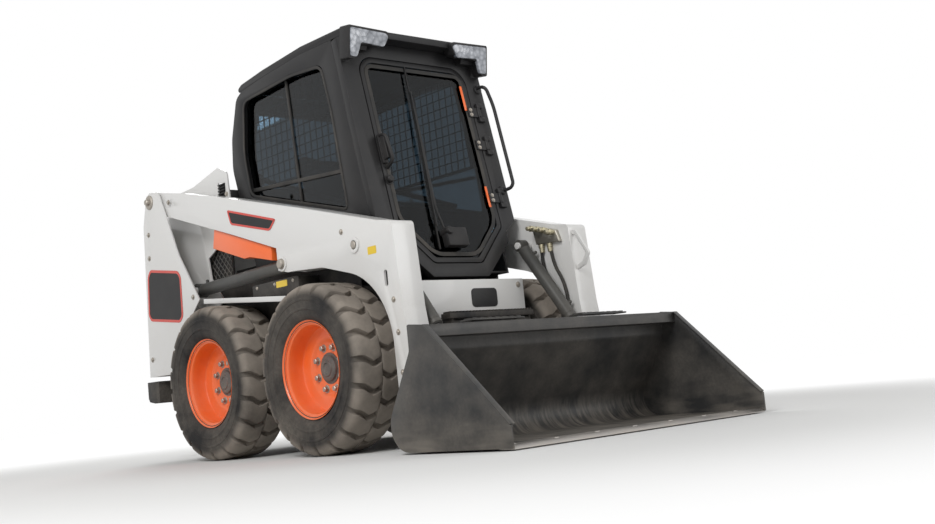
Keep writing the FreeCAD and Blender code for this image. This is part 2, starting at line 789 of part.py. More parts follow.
# Front panel and step
panel = box(
    "panel",
    front + dim.nose_front,
    front + dim.nose_front + dim.panel_thickness,
    -dim.nose_half_width,
    dim.nose_half_width,
    dim.panel_low,
    dim.nose_top,
)
node(panel, "front_panel")
nose_x = front + dim.nose_front
step_parts = [
    box("step_tread", nose_x + 118, nose_x + 180, -262, 262, 552, 576),
    across("step_tube", nose_x + 148, 528, -250, 250, 22),
    box("step_leg_left", nose_x, nose_x + 170, 236, 248, 440, 560),
    box("step_leg_right", nose_x, nose_x + 170, -248, -236, 440, 560),
]
step_tools = [box("step_panel_room", nose_x - 1, nose_x + dim.panel_thickness, -260, 260, 499, 600)]
node(cut("step", fuse("step_body", step_parts), step_tools), "front_step")

# Lift arms
arch_corner = [
    (front + 481, 270),
    (front + 473, 724, 360),
    (front + 6, 846, 150),
    (front - 242, 862),
    (front - 272, 862, 30),
    (front - 354, 880),
    (front - 358, 990),
]
arm_outline = arch_corner + [
    (133, 1124),
    (-448, 1306),
    (-726, 1374, 52),
    (-722, 1496, 52),
    (-288, 1411),
    (112, 1313),
    (front - 132, 1145),
    (front + 430, 993),
    (front + 532, 976, 24),
    (front + 559, 600, 150),
    (front + dim.hinge_ahead + dim.arm_end_radius, 300, 60),
    (front + dim.hinge_ahead + dim.arm_end_radius, dim.hinge_height - dim.arm_end_radius, dim.arm_end_radius),
    (front + dim.hinge_ahead - dim.arm_end_radius, dim.hinge_height - dim.arm_end_radius, dim.arm_end_radius),
]
hinge = (front + dim.hinge_ahead, dim.hinge_height)
lift_eye = (front - dim.lift_eye_behind, dim.lift_eye_height)
tilt_base = (front + dim.tilt_base_ahead, dim.tilt_base_height)
tilt_eye = (front + dim.tilt_eye_ahead, dim.tilt_eye_height)
lift_base = (-dim.lift_base_back, dim.lift_base_height)
arm_middle = dim.arm_inner + dim.arm_width / 2
slot_half = dim.lift_eye_width / 2 + dim.eye_side_clearance
bore = dim.pin_clearance
pivot_bore = dim.pivot_pin_radius + bore
tilt_pin_end = dim.tilt_plane - dim.tilt_eye_width / 2 - 10
slot_middle = (front + 463, 737)
slot_outline = [
    (slot_middle[0] - 12, slot_middle[1] - 36, 11.5),
    (slot_middle[0] + 12, slot_middle[1] - 36, 11.5),
    (slot_middle[0] + 12, slot_middle[1] + 36, 11.5),
    (slot_middle[0] - 12, slot_middle[1] + 36, 11.5),
]
arm = cut(
    "arm",
    fuse(
        "arm_body",
        [
            prism("arm_beam", "side", dim.arm_inner, arm_outer, arm_outline),
            across("tilt_pin", tilt_base[0], tilt_base[1], tilt_pin_end, dim.arm_inner, dim.tilt_pin_radius),
            across("tilt_boss", tilt_base[0], tilt_base[1], arm_outer, arm_outer + dim.boss_height, dim.boss_radius),
            across("lift_boss", lift_eye[0], lift_eye[1], arm_outer, arm_outer + dim.boss_height, dim.boss_radius),
            across("hinge_pin", hinge[0], hinge[1], dim.arm_inner - 28, arm_outer + 28, dim.hinge_pin_radius),
        ],
    ),
    [
        across("pivot_bore", -dim.pivot_back, dim.pivot_height, dim.arm_inner - 1, arm_outer + 1, pivot_bore),
        across("boss_hollow", tilt_base[0], tilt_base[1], arm_outer - 6, arm_outer + 20, dim.tilt_pin_radius + 4),
        prism("arm_slot", "side", arm_outer - 30, arm_outer + 1, slot_outline),
        prism(
            "eye_slot",
            "side",
            arm_middle - slot_half,
            arm_middle + slot_half,
            [(front - 420, 830), (front - 246, 830), (front - 246, 960), (front - 300, 975), (front - 420, 975)],
        ),
    ],
)
node(arm, "lift_arm_left")
node(mirrored("arm_twin", arm), "lift_arm_right")
cross = across(
    "cross",
    front + dim.cross_tube_ahead,
    dim.cross_tube_height,
    -dim.arm_inner,
    dim.arm_inner,
    dim.cross_tube_radius,
)
gussets = []
for side in (1, -1):
    low = dim.arm_inner - 12 if side > 0 else -dim.arm_inner
    gussets.append(box("cross_gusset", front + 401, front + 560, low, low + 12, 310, 400))
node(fuse("cross_whole", [cross] + gussets), "arm_cross_tube")
support_outline = [(-45, 1176), (472, 1007), (472, 940), (278, 985), (221, 985), (-70, 1080)]
support = prism("support", "side", -590, -500, support_outline)
support_room = [(-448, 1305.7), (front - 358, 989.7), (front, 1300), (0, 1500)]
node(cut("support_cut", support, [prism("support_room", "side", -600, -490, support_room)]), "arm_support")
coupler_outline = [(front + 310, 1000), (front + 470, 960), (front + 490, 900), (front + 330, 905)]
node(prism("coupler", "side", dim.arm_inner - 23, dim.arm_inner, coupler_outline), "coupler_block")
guard_outline = [
    (front + 534.6, 945),
    (front + 558, 948, 10),
    (front + 632, 826, 16),
    (front + 600, 770, 10),
    (front + 548.5, 752),
    (front + 547.1, 772),
    (front + 588, 790, 8),
    (front + 612, 826, 8),
    (front + 550, 926, 6),
    (front + 536.3, 922),
]
node(prism("guard", "side", dim.arm_inner + 20, dim.arm_inner + 36, guard_outline), "guard_handle")


# Cylinders: a barrel turns on its base pin and a rod slides out of it
def cylinder_pair(name, base, eye, plane, barrel_radius, rod_radius, eye_radius, eye_width, pin_radius, end_gap, stroke_in):
    span = length_of(eye[0] - base[0], eye[1] - base[1])
    low = plane - eye_width / 2
    high = plane + eye_width / 2
    barrel = cut(
        name + "_barrel",
        fuse(
            name + "_barrel_body",
            [
                along(name + "_tube", base, eye, plane, barrel_radius, eye_radius - 4, span - end_gap),
                across(name + "_base_eye", base[0], base[1], low, high, eye_radius),
            ],
        ),
        [
            across(name + "_base_bore", base[0], base[1], low - 1, high + 1, pin_radius + dim.pin_clearance),
            along(name + "_rod_bore", base, eye, plane, rod_radius + dim.pin_clearance, eye_radius + 8, span),
        ],
    )
    rod = fuse(
        name + "_rod",
        [
            along(name + "_shaft", base, eye, plane, rod_radius, eye_radius + 14 + stroke_in),
            across(name + "_rod_eye", eye[0], eye[1], low, high, eye_radius),
        ],
    )
    node(both(name + "_barrel_pair", barrel), name + "_barrels")
    node(both(name + "_rod_pair", rod), name + "_rods")


cylinder_pair(
    "lift", lift_base, lift_eye, arm_middle, dim.lift_barrel_radius, dim.lift_rod_radius,
    dim.lift_eye_radius, dim.lift_eye_width, dim.lift_pin_radius, 60, 0,
)
cylinder_pair(
    "tilt", tilt_base, tilt_eye, dim.tilt_plane, dim.tilt_barrel_radius, dim.tilt_rod_radius,
    dim.tilt_eye_radius, dim.tilt_eye_width, dim.tilt_pin_radius, 140, dim.tilt_stroke_in,
)

# Bucket carrier: two plates behind the bucket with ears for the hinge and the tilt rods
back_low = (front + 661, 185)
back_high = (front + 766, 360)
slant = math.atan2(back_high[1] - 185, 105)
lean_run = math.cos(slant)
lean_rise = math.sin(slant)


def behind(up_sheet, back):
    """A place measured up the bucket's back sheet and back from it."""
    return (
        back_low[0] + (up_sheet * lean_run - back * lean_rise),
        size(back_low[1] + up_sheet * lean_rise + back * lean_run),
    )


face = dim.carrier_plate
carrier_parts = []
face_outline = [behind(10, 30.3), behind(300, 30.3), behind(300, 46), behind(10, 46)]
hinge_ear = [
    behind(-40, 40),
    behind(70, 40),
    (hinge[0] + 12, hinge[1] + 44),
    (hinge[0] - 44, hinge[1] + 30, 24),
    (hinge[0] - 44, hinge[1] - 44, 36),
    (hinge[0] + 20, hinge[1] - 44, 30),
]
tilt_ear = [
    behind(60, 40),
    behind(285, 40),
    (tilt_eye[0] + 16, tilt_eye[1] + 40, 20),
    (tilt_eye[0] - 34, tilt_eye[1] + 28, 24),
    (tilt_eye[0] - 34, tilt_eye[1] - 30, 20),
]
ear_gap = dim.tilt_eye_width / 2 + dim.eye_side_clearance
inner_ear_low = dim.arm_inner - 21
carrier_parts = [
    prism("carrier_face", "side", 300, 640, face_outline),
    prism("carrier_outer_ear", "side", arm_outer + 7, arm_outer + 21, hinge_ear),
    prism("carrier_inner_ear", "side", inner_ear_low, dim.arm_inner - 7, hinge_ear),
    prism("tilt_inner_ear", "side", dim.tilt_plane - ear_gap - face, dim.tilt_plane - ear_gap, tilt_ear),
    prism("tilt_outer_ear", "side", dim.tilt_plane + ear_gap, dim.arm_inner - 18, tilt_ear),
]
pin_bore = across("hinge_bore", hinge[0], hinge[1], 400, 700, dim.hinge_pin_radius + bore)
carrier_side = cut("carrier_side", fuse("carrier_plates", carrier_parts), [pin_bore])
bar_outline = [behind(262, 30.3), behind(300, 30.3), behind(300, 60), behind(262, 60)]
low_bar = [behind(-30, 30.3), behind(20, 30.3), behind(20, 60), behind(-30, 60)]
carrier = fuse(
    "carrier",
    [
        carrier_side,
        mirrored("carrier_twin", carrier_side),
        prism("carrier_top_bar", "side", -320, 320, bar_outline),
        prism("carrier_low_bar", "side", -320, 320, low_bar),
    ],
)
node(carrier, "bucket_carrier")

# Bucket: one bent sheet between two side plates, with a mounting frame on its back and a cutting edge
sheet_t = dim.bucket_plate
edge_x = front + dim.edge_reach
floor = dim.floor_height
heel_x = back_low[0] - (back_low[1] - floor) / math.tan(slant)
bend = behind(255, 0)
inner_heel_x = heel_x + sheet_t / math.tan(slant / 2)
inner_bend = (bend[0] + sheet_t, bend[1] - sheet_t * math.tan(math.pi / 4 - slant / 2))
shell_outline = [
    (edge_x - 80, floor),
    (heel_x, floor, 104),
    bend + (39,),
    (bend[0], 505),
    (inner_bend[0], 505),
    inner_bend + (30,),
    (inner_heel_x, floor + sheet_t, 95),
    (edge_x - 80, floor + sheet_t),
]
side_outline = [
    (edge_x, floor),
    (edge_x, 90),
    (front + 886, 500),
    (front + 802, 509),
    (bend[0], 505),
    bend + (39,),
    (heel_x, floor, 104),
]
top_outline = [
    (inner_bend[0], 452),
    (front + 886, 452),
    (front + 886, 500),
    (inner_bend[0], 505),
]
half = dim.bucket_half_width
rib_outline = [behind(-30, 0), behind(240, 0), behind(240, 30), behind(-30, 30)]
bucket_parts = [
    prism("bucket_sheet", "side", dim.side_plate - half, half - dim.side_plate, shell_outline),
    prism("bucket_left_side", "side", half - dim.side_plate, half, side_outline),
    prism("bucket_right_side", "side", -half, dim.side_plate - half, side_outline),
    prism("bucket_top", "side", dim.side_plate - half, half - dim.side_plate, top_outline),
    prism("bucket_left_rib", "side", 500, 640, rib_outline),
    prism("bucket_right_rib", "side", -640, -500, rib_outline),
]
node(fuse("bucket", bucket_parts), "bucket_shell")
edge_outline = [
    (edge_x, dim.edge_height),
    (edge_x, dim.edge_height + 4),
    (edge_x - 24, dim.edge_height + dim.edge_plate),
    (edge_x - dim.edge_depth, dim.edge_height + dim.edge_plate),
    (edge_x - dim.edge_depth, dim.floor_height + dim.bucket_plate),
    (edge_x - 80, dim.floor_height + dim.bucket_plate),
    (edge_x - 80, dim.edge_height),
]
node(prism("edge", "side", dim.side_plate - half, half - dim.side_plate, edge_outline), "cutting_edge")

# Cab: two thick sides, a roof, a rear wall, a leaning front frame and a floor
lean_slope = math.tan(math.radians(float(dim.cab_lean)))


def front_face(height):
    """Station of the cab's leaning front at a height."""
    return front + dim.cab_foot_ahead - (size(height) - dim.cab_foot_height) * lean_slope


frame_depth = dim.cab_front_depth
frame_reach = frame_depth / math.cos(math.radians(float(dim.cab_lean))) + dim.seat_clearance
cab_low = dim.tub_top + dim.seat_clearance
# the roof line: station from the front axle, height over the top of the cab's front, corner radius
ROOF_LINE = [(-817, -45, 60), (-608, -22, 200), (-256, 3, 300)]
roof_low = dim.cab_front_top
side_foot = dim.tub_top + 122
side_wall = [
    (front_face(roof_low) - frame_reach, roof_low),
    (front_face(side_foot) - frame_reach, side_foot),
    (front + 60, cab_low),
    (front - 799, cab_low),
    (front - 914, 1331),
    (front - 960, 1500, 200),
    (front - 946, 1660, 200),
    (front - 875, roof_low - 73, 60),
] + [(front + station, roof_low + rise, radius) for station, rise, radius in ROOF_LINE]
side_window = [
    (front - 806, 1326, 30),
    (front - 846, 1560, 60),
    (front - 812, roof_low - 97, 60),
    (front - 360, roof_low - 73, 200),
    (front - 96, roof_low - 93, 50),
    (front - 40, 1600, 100),
    (front + 26, 1106, 30),
]
wall_low = dim.cab_half_width - dim.cab_wall
side = prism("cab_wall", "side", wall_low, dim.cab_half_width, side_wall, [side_window])
node(side, "cab_side_left")
node(mirrored("cab_wall_twin", side), "cab_side_right")
roof_outline = [
    (front + 121, roof_low + 1),
    (front + 125, roof_low + 37, 12),
    (front - 256, roof_low + 40, 300),
    (front - 608, roof_low + 15, 300),
    (front - 817, roof_low - 9, 60),
    (front - 860, roof_low - 30, 12),
    (front - 838, roof_low - 47),
] + [(front + station, roof_low + dim.seat_clearance + rise, radius) for station, rise, radius in ROOF_LINE] + [
    (front_face(roof_low) - frame_reach, roof_low + dim.seat_clearance),
    (front_face(roof_low) - frame_reach + 8, roof_low + 1),
]
node(prism("roof", "side", 2 - dim.cab_half_width, dim.cab_half_width - 2, roof_outline), "cab_roof")
rear_wall = [
    (front - 875, roof_low - 73),
    (front - 946, 1660, 200),
    (front - 960, 1500, 200),
    (front - 914, 1331),
    (front - 799, cab_low),
    (front - 784, cab_low),
    (front - 896, 1331),
    (front - 938, 1500, 180),
    (front - 924, 1660, 180),
    (front - 850, roof_low - 75),
]
wall_clear = wall_low - dim.seat_clearance
rear = prism("rear_wall", "side", -wall_clear, wall_clear, rear_wall)
rear_cut = box("rear_window", front - 1000, front - 800, -300, 300, 1400, roof_low - 145)
bar_pivot = (front - 870, 1440)
bar_y = 350
bar_radius = 14
bracket_outline = [
    (front - 912, 1372),
    (bar_pivot[0] + 18, bar_pivot[1] - 20, 12),
    (bar_pivot[0] + 18, bar_pivot[1] + 20, 12),
    (front - 929, 1490),
]
brackets = [
    prism("bar_bracket_left", "side", bar_y - 34, bar_y - 22, bracket_outline),
    prism("bar_bracket_right", "side", 22 - bar_y, 34 - bar_y, bracket_outline),
]
node(fuse("rear_whole", [cut("rear_wall_cut", rear, [rear_cut])] + brackets), "cab_rear")
glass_lap = 10
glass_outline = [
    (front - 812, 1326 - glass_lap, 34),
    (front - 852, 1560, 70),
    (front - 817, roof_low - 97 + glass_lap, 64),
    (front - 360, roof_low - 73 + glass_lap, 210),
    (front - 90, roof_low - 93 + glass_lap, 56),
    (front - 32, 1600, 110),
    (front + 38, 1106 - glass_lap, 34),
]
pane_outer = wall_low - dim.seat_clearance
side_glass = prism("side_pane", "side", pane_outer - dim.glass_thickness, pane_outer, glass_outline)
rear_pane = [
    (front - 910.4, 1390),
    (front - 937.7, 1500, 180),
    (front - 923.7, 1660, 180),
    (front - 871.9, roof_low - 135),
    (front - 865.9, roof_low - 135),
    (front - 917.7, 1660, 174),
    (front - 931.7, 1500, 174),
    (front - 904.4, 1390),
]
rear_glass = prism("rear_pane", "side", -311, 311, rear_pane)
panes = doc.addObject("Part::Compound", "panes")
panes.Links = [side_glass, mirrored("side_pane_twin", side_glass), rear_glass]
node(panes, "cab_glass")


# Pieces of the cab's front are drawn upright at the foot of the front and leaned back together
def leaned(thing, ahead=0):
    thing.Placement = Placement(Vector(), Rotation(Vector(0, 1, 0), -float(dim.cab_lean)))
    thing.setExpression("Placement.Rotation.Angle", "%s * 1 deg" % (-dim.cab_lean).text)
    bind(thing, "Placement.Base.x", front + dim.cab_foot_ahead + rear_axle_x + ahead)
    bind(thing, "Placement.Base.z", dim.cab_foot_height)
    return thing


def front_prism(name, low, high, outline, holes=()):
    return prism(name, "front", low, high, outline, holes, stations=False)


# height of the cab's front frame, up the lean
lean_cosine = Size(math.cos(math.radians(float(dim.cab_lean))), "cos(%s * 1 deg)" % dim.cab_lean.text)
front_rise = (dim.cab_front_top - dim.cab_foot_height) / lean_cosine


def door_shape(grow, radius):
    half = dim.door_half_width + grow
    top = (front_rise - dim.door_head + grow, dim.door_corner + grow)
    return [
        (-half, 258 - grow * 0.4, radius),
        (-(150 + grow * 0.6), 72 - grow, radius),
        (150 + grow * 0.6, 72 - grow, radius),
        (half, 258 - grow * 0.4, radius),
        (half,) + top,
        (-half,) + top,
    ]


cab_half = dim.cab_half_width
frame_outline = [
    (-cab_half, 290),
    (-365, 235),
    (-365, 180, 30),
    (-175, 0),
    (175, 0),
    (365, 180, 30),
    (365, 235),
    (cab_half, 290),
    (cab_half, front_rise),
    (-cab_half, front_rise),
]
frame = front_prism("front_frame", -frame_depth, 0, frame_outline, [door_shape(dim.door_gap, 45)])
node(leaned(frame), "cab_front_frame")
leaf = front_prism("door_leaf", -dim.door_depth, 0, door_shape(0, 42), [door_shape(-dim.door_rim, 30)])
door_parts = [leaf]
hinge_y = dim.door_half_width + 34
# hinges of the door: lowest and highest place along the leaning front
HINGES = [(383, 433), (669, 719), (850, 900)]
for low, high in HINGES:
    bar = front_prism("hinge_strap", 1, 10, [(300, low), (hinge_y, low), (hinge_y, high), (300, high)])
    seat = front_prism("hinge_seat", 0, 1, [(300, low), (332, low), (332, high), (300, high)])
    door_parts += [bar, seat]
    knuckle = doc.addObject("Part::Cylinder", "hinge_knuckle")
    bind(knuckle, "Radius", 10)
    bind(knuckle, "Height", high - low)
    knuckle.Placement = Placement(Vector(11, float(hinge_y), low), Rotation())
    knuckle.setExpression("Placement.Base.y", hinge_y.text)
    door_parts.append(knuckle)
door = fuse("door", door_parts)
node(leaned(door), "door_frame")
pane = front_prism("door_pane", -16, -10, door_shape(-dim.door_rim - 0.3, 30))
node(leaned(pane), "door_glass")
latch_parts = [
    front_prism("latch_base", 0, 12, [(-330, 560), (-300, 560), (-300, 700), (-330, 700)]),
    front_prism("latch_bow", 12, 44, [(-324, 575), (-306, 575), (-306, 690), (-324, 690)]),
]
node(leaned(fuse("latch", latch_parts)), "door_latch")
frame_hinges = []
for low, high in HINGES:
    for start, end in ((low - 26, low - 0.5), (high + 0.5, high + 26)):
        block = front_prism(
            "hinge_block", 0, 18, [(hinge_y - 9, start), (hinge_y + 30, start), (hinge_y + 30, end), (hinge_y - 9, end)]
        )
        frame_hinges.append(block)
node(leaned(fuse("hinge_blocks", frame_hinges)), "door_hinges")
bar_parts = [
    front_prism("grab_upright", 50, 68, [(430, 470), (448, 470), (448, 1000), (430, 1000)]),
    front_prism("grab_low", 0, 68, [(405, 452), (448, 452), (448, 470), (405, 470)]),
    front_prism("grab_high", 0, 68, [(405, 1000), (448, 1000), (448, 1018), (405, 1018)]),
]
node(leaned(fuse("grab", bar_parts)), "grab_bar")

floor_top = cab_low + dim.floor_plate
well_low = dim.cab_foot_height + 20
well_top = well_low + dim.floor_plate
well_high = floor_top + 110
floor_outline = [
    (front - 784 + dim.seat_clearance, cab_low),
    (front - 787 + dim.seat_clearance, floor_top),
    (front - 140, floor_top),
    (front - 140, well_top),
    (front_face(well_top) - frame_reach, well_top),
    (front_face(well_low) - frame_reach, well_low),
    (front - 150, well_low),
    (front - 150, cab_low),
]
well = [
    (front - 150, well_low),
    (front_face(well_low) - frame_reach, well_low),
    (front_face(well_high) - frame_reach, well_high),
    (front + 66, floor_top),
    (front - 150, floor_top),
]
floor_parts = [
    prism("floor_pan", "side", -wall_clear, wall_clear, floor_outline),
    prism("well_left", "side", 340, 350, well),
    prism("well_right", "side", -350, -340, well),
]
well_room = [
    (front - 149, 700),
    (front + 400, 700),
    (front + 400, 1100),
    (front - 149, 1100),
]
trims = [
    prism("pan_trim_left", "side", 350, 500, well_room),
    prism("pan_trim_right", "side", -500, -350, well_room),
]
node(cut("cab_floor_cut", fuse("cab_floor_parts", floor_parts), trims), "cab_floor")
screen_edge = [
    (front - 832, 1352),
    (front - 868, 1560, 60),
    (front - 832, roof_low - 73, 50),
    (front - 360, roof_low - 51, 200),
    (front - 70, roof_low - 73, 40),
    (front - 12, 1600, 100),
    (front + 17, 1352),
]
screen_inside = [
    (front - 812, 1366),
    (front - 846, 1560, 60),
    (front - 812, roof_low - 97, 60),
    (front - 360, roof_low - 73, 200),
    (front - 96, roof_low - 93, 50),
    (front - 40, 1600, 100),
    (front - 9, 1366),
]
screen_border = [point[:2] for point in screen_edge]
screen_low = wall_low - 26
screen_high = wall_low - 8


def inside_part(cell, border):
    """The part of a cell that lies inside a border, both given as corners that run anticlockwise."""
    for index, start in enumerate(border):
        end = border[(index + 1) % len(border)]
        kept = []
        for number, here in enumerate(cell):
            after = cell[(number + 1) % len(cell)]
            sides = [
                (end[0] - start[0]) * (spot[1] - start[1]) - (end[1] - start[1]) * (spot[0] - start[0])
                for spot in (here, after)
            ]
            if sides[0] >= 0:
                kept.append(here)
            if sides[0] * sides[1] < 0:
                share = sides[0] / (sides[0] - sides[1])
                kept.append((here[0] + (after[0] - here[0]) * share, here[1] + (after[1] - here[1]) * share))
        cell = kept
        if len(cell) < 3:
            return []
    return cell


def screen_wire(corners):
    spots = [Vector(float(station + rear_axle_x), 0, float(height)) for station, height in corners]
    return Part.makePolygon(spots + spots[:1])


border = [(float(point[0]), float(point[1])) for point in reversed(screen_inside)]
pitch = float(dim.screen_pitch)
bar = float(dim.screen_bar)
meshes = []
for column in range(int(900 / pitch)):
    for row in range(int(540 / pitch)):
        left = float(front) - 850 + column * pitch
        low = 1366 + row * pitch
        right = left + pitch - bar
        high = low + pitch - bar
        mesh = inside_part([(left, low), (right, low), (right, high), (left, high)], border)
        if len(mesh) > 2 and max(spot[0] for spot in mesh) - min(spot[0] for spot in mesh) > bar:
            meshes.append(screen_wire(mesh))
grid_face = Part.Face([screen_wire([point[:2] for point in screen_edge])] + meshes)
grid_face.translate(Vector(0, float(screen_low), 0))
screen_grid = doc.addObject("Part::Feature", "screen_grid")
screen_grid.Shape = grid_face.extrude(Vector(0, bar, 0))
screen_frame = prism("screen_frame", "side", screen_low + dim.screen_bar, screen_high, screen_border, [screen_inside])
feet = [
    box("screen_foot_rear", front - 864, front - 858, screen_low, wall_low - 0.3, 1540, 1580),
    box("screen_foot_front", front + 4, front + 12, screen_low, wall_low - 0.3, 1353, 1390),
]
node(both("screens", fuse("screen", [screen_grid, screen_frame] + feet)), "side_screens")
on_floor = floor_top + dim.seat_clearance
cushion_outline = [
    (front - 610, on_floor),
    (front - 180, on_floor),
    (front - 170, floor_top + 130, 40),
    (front - 600, floor_top + 100),
]
back_outline = [
    (front - 640, floor_top + 30),
    (front - 560, floor_top + 30),
    (front - 640, floor_top + 610, 40),
    (front - 720, floor_top + 600, 30),
]
seat_parts = [
    prism("seat_cushion", "side", -230, 230, cushion_outline),
    prism("seat_back", "side", -220, 220, back_outline),
]
node(fuse("seat_whole", seat_parts), "seat")
lever_parts = []
for side in (1, -1):
    y = 285 * side
    lever_parts.append(box("console", front - 520, front - 190, y - 40, y + 40, on_floor, floor_top + 160))
    lever_parts.append(box("lever", front - 230, front - 206, y - 10, y + 10, floor_top + 155, floor_top + 280))
levers = doc.addObject("Part::Compound", "levers")
levers.Links = [fuse("lever_left", lever_parts[:2]), fuse("lever_right", lever_parts[2:])]
node(levers, "control_levers")
lamp_outline = [
    (front + 16, roof_low - 123),
    (front + 58, roof_low - 123),
    (front + 112, roof_low),
    (front + 30, roof_low),
]
lamp_room = (roof_low - 135, roof_low - 59)
lamp = cut(
    "lamp",
    prism("lamp_block", "side", 300, 438, lamp_outline),
    [box("lamp_door_room", front, front + 130, 299, dim.door_half_width + 50, lamp_room[0], lamp_room[1])],
)
lamp_back = [
    (200, front_rise - 299),
    (600, front_rise - 299),
    (600, front_rise + 101),
    (200, front_rise + 101),
]
lamp_trim = leaned(front_prism("lamp_back_room", -400, dim.seat_clearance, lamp_back))
node(both("lamps", cut("lamp_cut", lamp, [lamp_trim])), "work_lamps")

# Seat bar: a tube that swings up over the operator
bar_low = (front - 130, 1180)
bar_length = length_of(bar_low[0] - bar_pivot[0], bar_low[1] - bar_pivot[1])
swing = fuse(
    "swing",
    [
        along("bar_left", bar_pivot, bar_low, bar_y, bar_radius, -12, bar_length + 14),
        along("bar_right", bar_pivot, bar_low, -bar_y, bar_radius, -12, bar_length + 14),
        across("bar_cross", bar_low[0], bar_low[1], -bar_y, bar_y, bar_radius - 3),
        across("bar_left_pin", bar_pivot[0], bar_pivot[1], bar_y - 21.5, bar_y, 10),
        across("bar_right_pin", bar_pivot[0], bar_pivot[1], -bar_y, 21.5 - bar_y, 10),
    ],
)
node(swing, "seat_bar")

# Tailgate, hinged at the machine's right, and engine hood, hinged at its front edge
gate_skin = 12
gate_rear = -dim.tail_reach
gate_face = [
    (gate_rear, dim.tailgate_low),
    (gate_rear, dim.tailgate_high - 120, 200),
    (gate_rear + 22, dim.tailgate_high),
    (gate_rear + dim.tailgate_depth, dim.tailgate_high),
    (gate_rear + dim.tailgate_depth, dim.tailgate_low),
]
gate_room = [
    (gate_rear + gate_skin, dim.tailgate_low + gate_skin),
    (gate_rear + gate_skin, dim.tailgate_high - 120, 200),
    (gate_rear + gate_skin + 22, dim.tailgate_high - gate_skin),
    (gate_rear + 100, dim.tailgate_high - gate_skin),
    (gate_rear + 100, dim.tailgate_low + gate_skin),
]
gate_inner = dim.tailgate_half_width - gate_skin
gate = cut(
    "gate",
    prism("gate_block", "side", -dim.tailgate_half_width, dim.tailgate_half_width, gate_face),
    [prism("gate_inside", "side", -gate_inner, gate_inner, gate_room)],
)
gate_parts = [gate]
for low, high in GATE_HINGES:
    knuckle = doc.addObject("Part::Cylinder", "gate_knuckle")
    knuckle.Radius = 10
    knuckle.Height = high - low
    bind(knuckle, "Placement.Base.x", rear_axle_x + gate_axis[0])
    knuckle.Placement.Base.y = gate_axis[1]
    knuckle.Placement.Base.z = low
    gate_parts.append(knuckle)
    strap = box("gate_strap", gate_rear + 60, gate_axis[0] + 8, gate_axis[1], gate_axis[1] + 26, low, high)
    gate_parts.append(strap)
node(fuse("gate_whole", gate_parts), "tailgate")
hood_outline = [
    (-748, 1316),
    (-738, dim.hood_high - 22, 30),
    (-640, dim.hood_high),
    (-90, dim.hood_high),
    (-90, dim.hood_high - dim.hood_plate),
    (-640, dim.hood_high - dim.hood_plate),
    (-728, dim.hood_high - 40, 20),
    (-737, 1316),
]
hood = prism("hood_sheet", "side", -dim.hood_half_width, dim.hood_half_width, hood_outline)
hood_axis = (-72, 1408)
slots = []
for index in range(7):
    slots.append(box("hood_slot", -600 + index * 60, -572 + index * 60, -330, 330, 1360, 1420))
hood_parts = [cut("hood", hood, slots)]
base_parts = [box("vent_sheet", -84, -50, 0.3 - inner_low, inner_low - 0.3, 1331, 1392)]
for y in (-380, 330):
    hood_parts.append(box("hood_strap", -120, hood_axis[0], y, y + 50, dim.hood_high, hood_axis[1] + 8))
    hood_parts.append(across("hood_knuckle", hood_axis[0], hood_axis[1], y, y + 50, 8))
    for start, end in ((y - 20.5, y - 0.5), (y + 50.5, y + 70.5)):
        base_parts.append(box("hood_ear", -84, -60, start, end, 1391, 1418))
node(fuse("hood_whole", hood_parts), "engine_hood")
node(fuse("vent_whole", base_parts), "vent_panel")

doc.recompute()
faults = [thing.Label for thing in doc.Objects if "Invalid" in thing.State or "Error" in thing.State]
if faults:
    raise RuntimeError("failed pieces: " + ", ".join(faults))
for thing in nodes:
    if thing.Shape.isNull() or not thing.Shape.isValid() or not thing.Shape.Solids:
        raise RuntimeError("bad shape: " + thing.Label)
os.makedirs("parts", exist_ok=True)
for thing in nodes:
    thing.Shape.exportStep("parts/%s.step" % thing.Label)
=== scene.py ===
import json
import math

import bmesh
import bpy
from mathutils import Matrix, Vector

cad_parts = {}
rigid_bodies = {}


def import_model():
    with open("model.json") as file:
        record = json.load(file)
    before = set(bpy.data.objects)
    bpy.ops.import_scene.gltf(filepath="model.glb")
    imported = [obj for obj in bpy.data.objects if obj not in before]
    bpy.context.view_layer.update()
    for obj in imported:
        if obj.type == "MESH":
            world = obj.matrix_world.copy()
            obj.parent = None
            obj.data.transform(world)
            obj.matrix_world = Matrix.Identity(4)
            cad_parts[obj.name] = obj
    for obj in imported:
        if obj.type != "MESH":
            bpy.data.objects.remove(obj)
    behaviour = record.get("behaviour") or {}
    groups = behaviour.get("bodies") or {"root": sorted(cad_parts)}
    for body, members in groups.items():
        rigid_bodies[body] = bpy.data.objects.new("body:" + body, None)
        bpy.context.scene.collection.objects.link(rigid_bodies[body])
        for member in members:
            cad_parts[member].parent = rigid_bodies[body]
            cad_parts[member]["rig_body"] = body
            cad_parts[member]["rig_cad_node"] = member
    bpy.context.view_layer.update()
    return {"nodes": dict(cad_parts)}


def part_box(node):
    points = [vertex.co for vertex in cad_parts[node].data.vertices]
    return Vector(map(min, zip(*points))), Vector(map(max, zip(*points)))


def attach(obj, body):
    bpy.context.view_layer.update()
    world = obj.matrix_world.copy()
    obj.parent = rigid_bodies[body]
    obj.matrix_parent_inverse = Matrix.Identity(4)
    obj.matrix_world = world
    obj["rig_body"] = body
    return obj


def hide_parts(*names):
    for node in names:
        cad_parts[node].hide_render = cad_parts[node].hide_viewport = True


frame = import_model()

# Camera: it stands low at the machine's right front corner, as the photograph was taken, a little
# tilted and rolled because the ground there isn't level.
CAMERA_PLACE = Vector((4.6965, -3.779, 0.246))
CAMERA_YAW = math.radians(47.67)
CAMERA_PITCH = math.radians(5.87)
CAMERA_ROLL = math.radians(-5.67)
FOCAL_PIXELS = 1201.2
PICTURE_WIDTH = 935
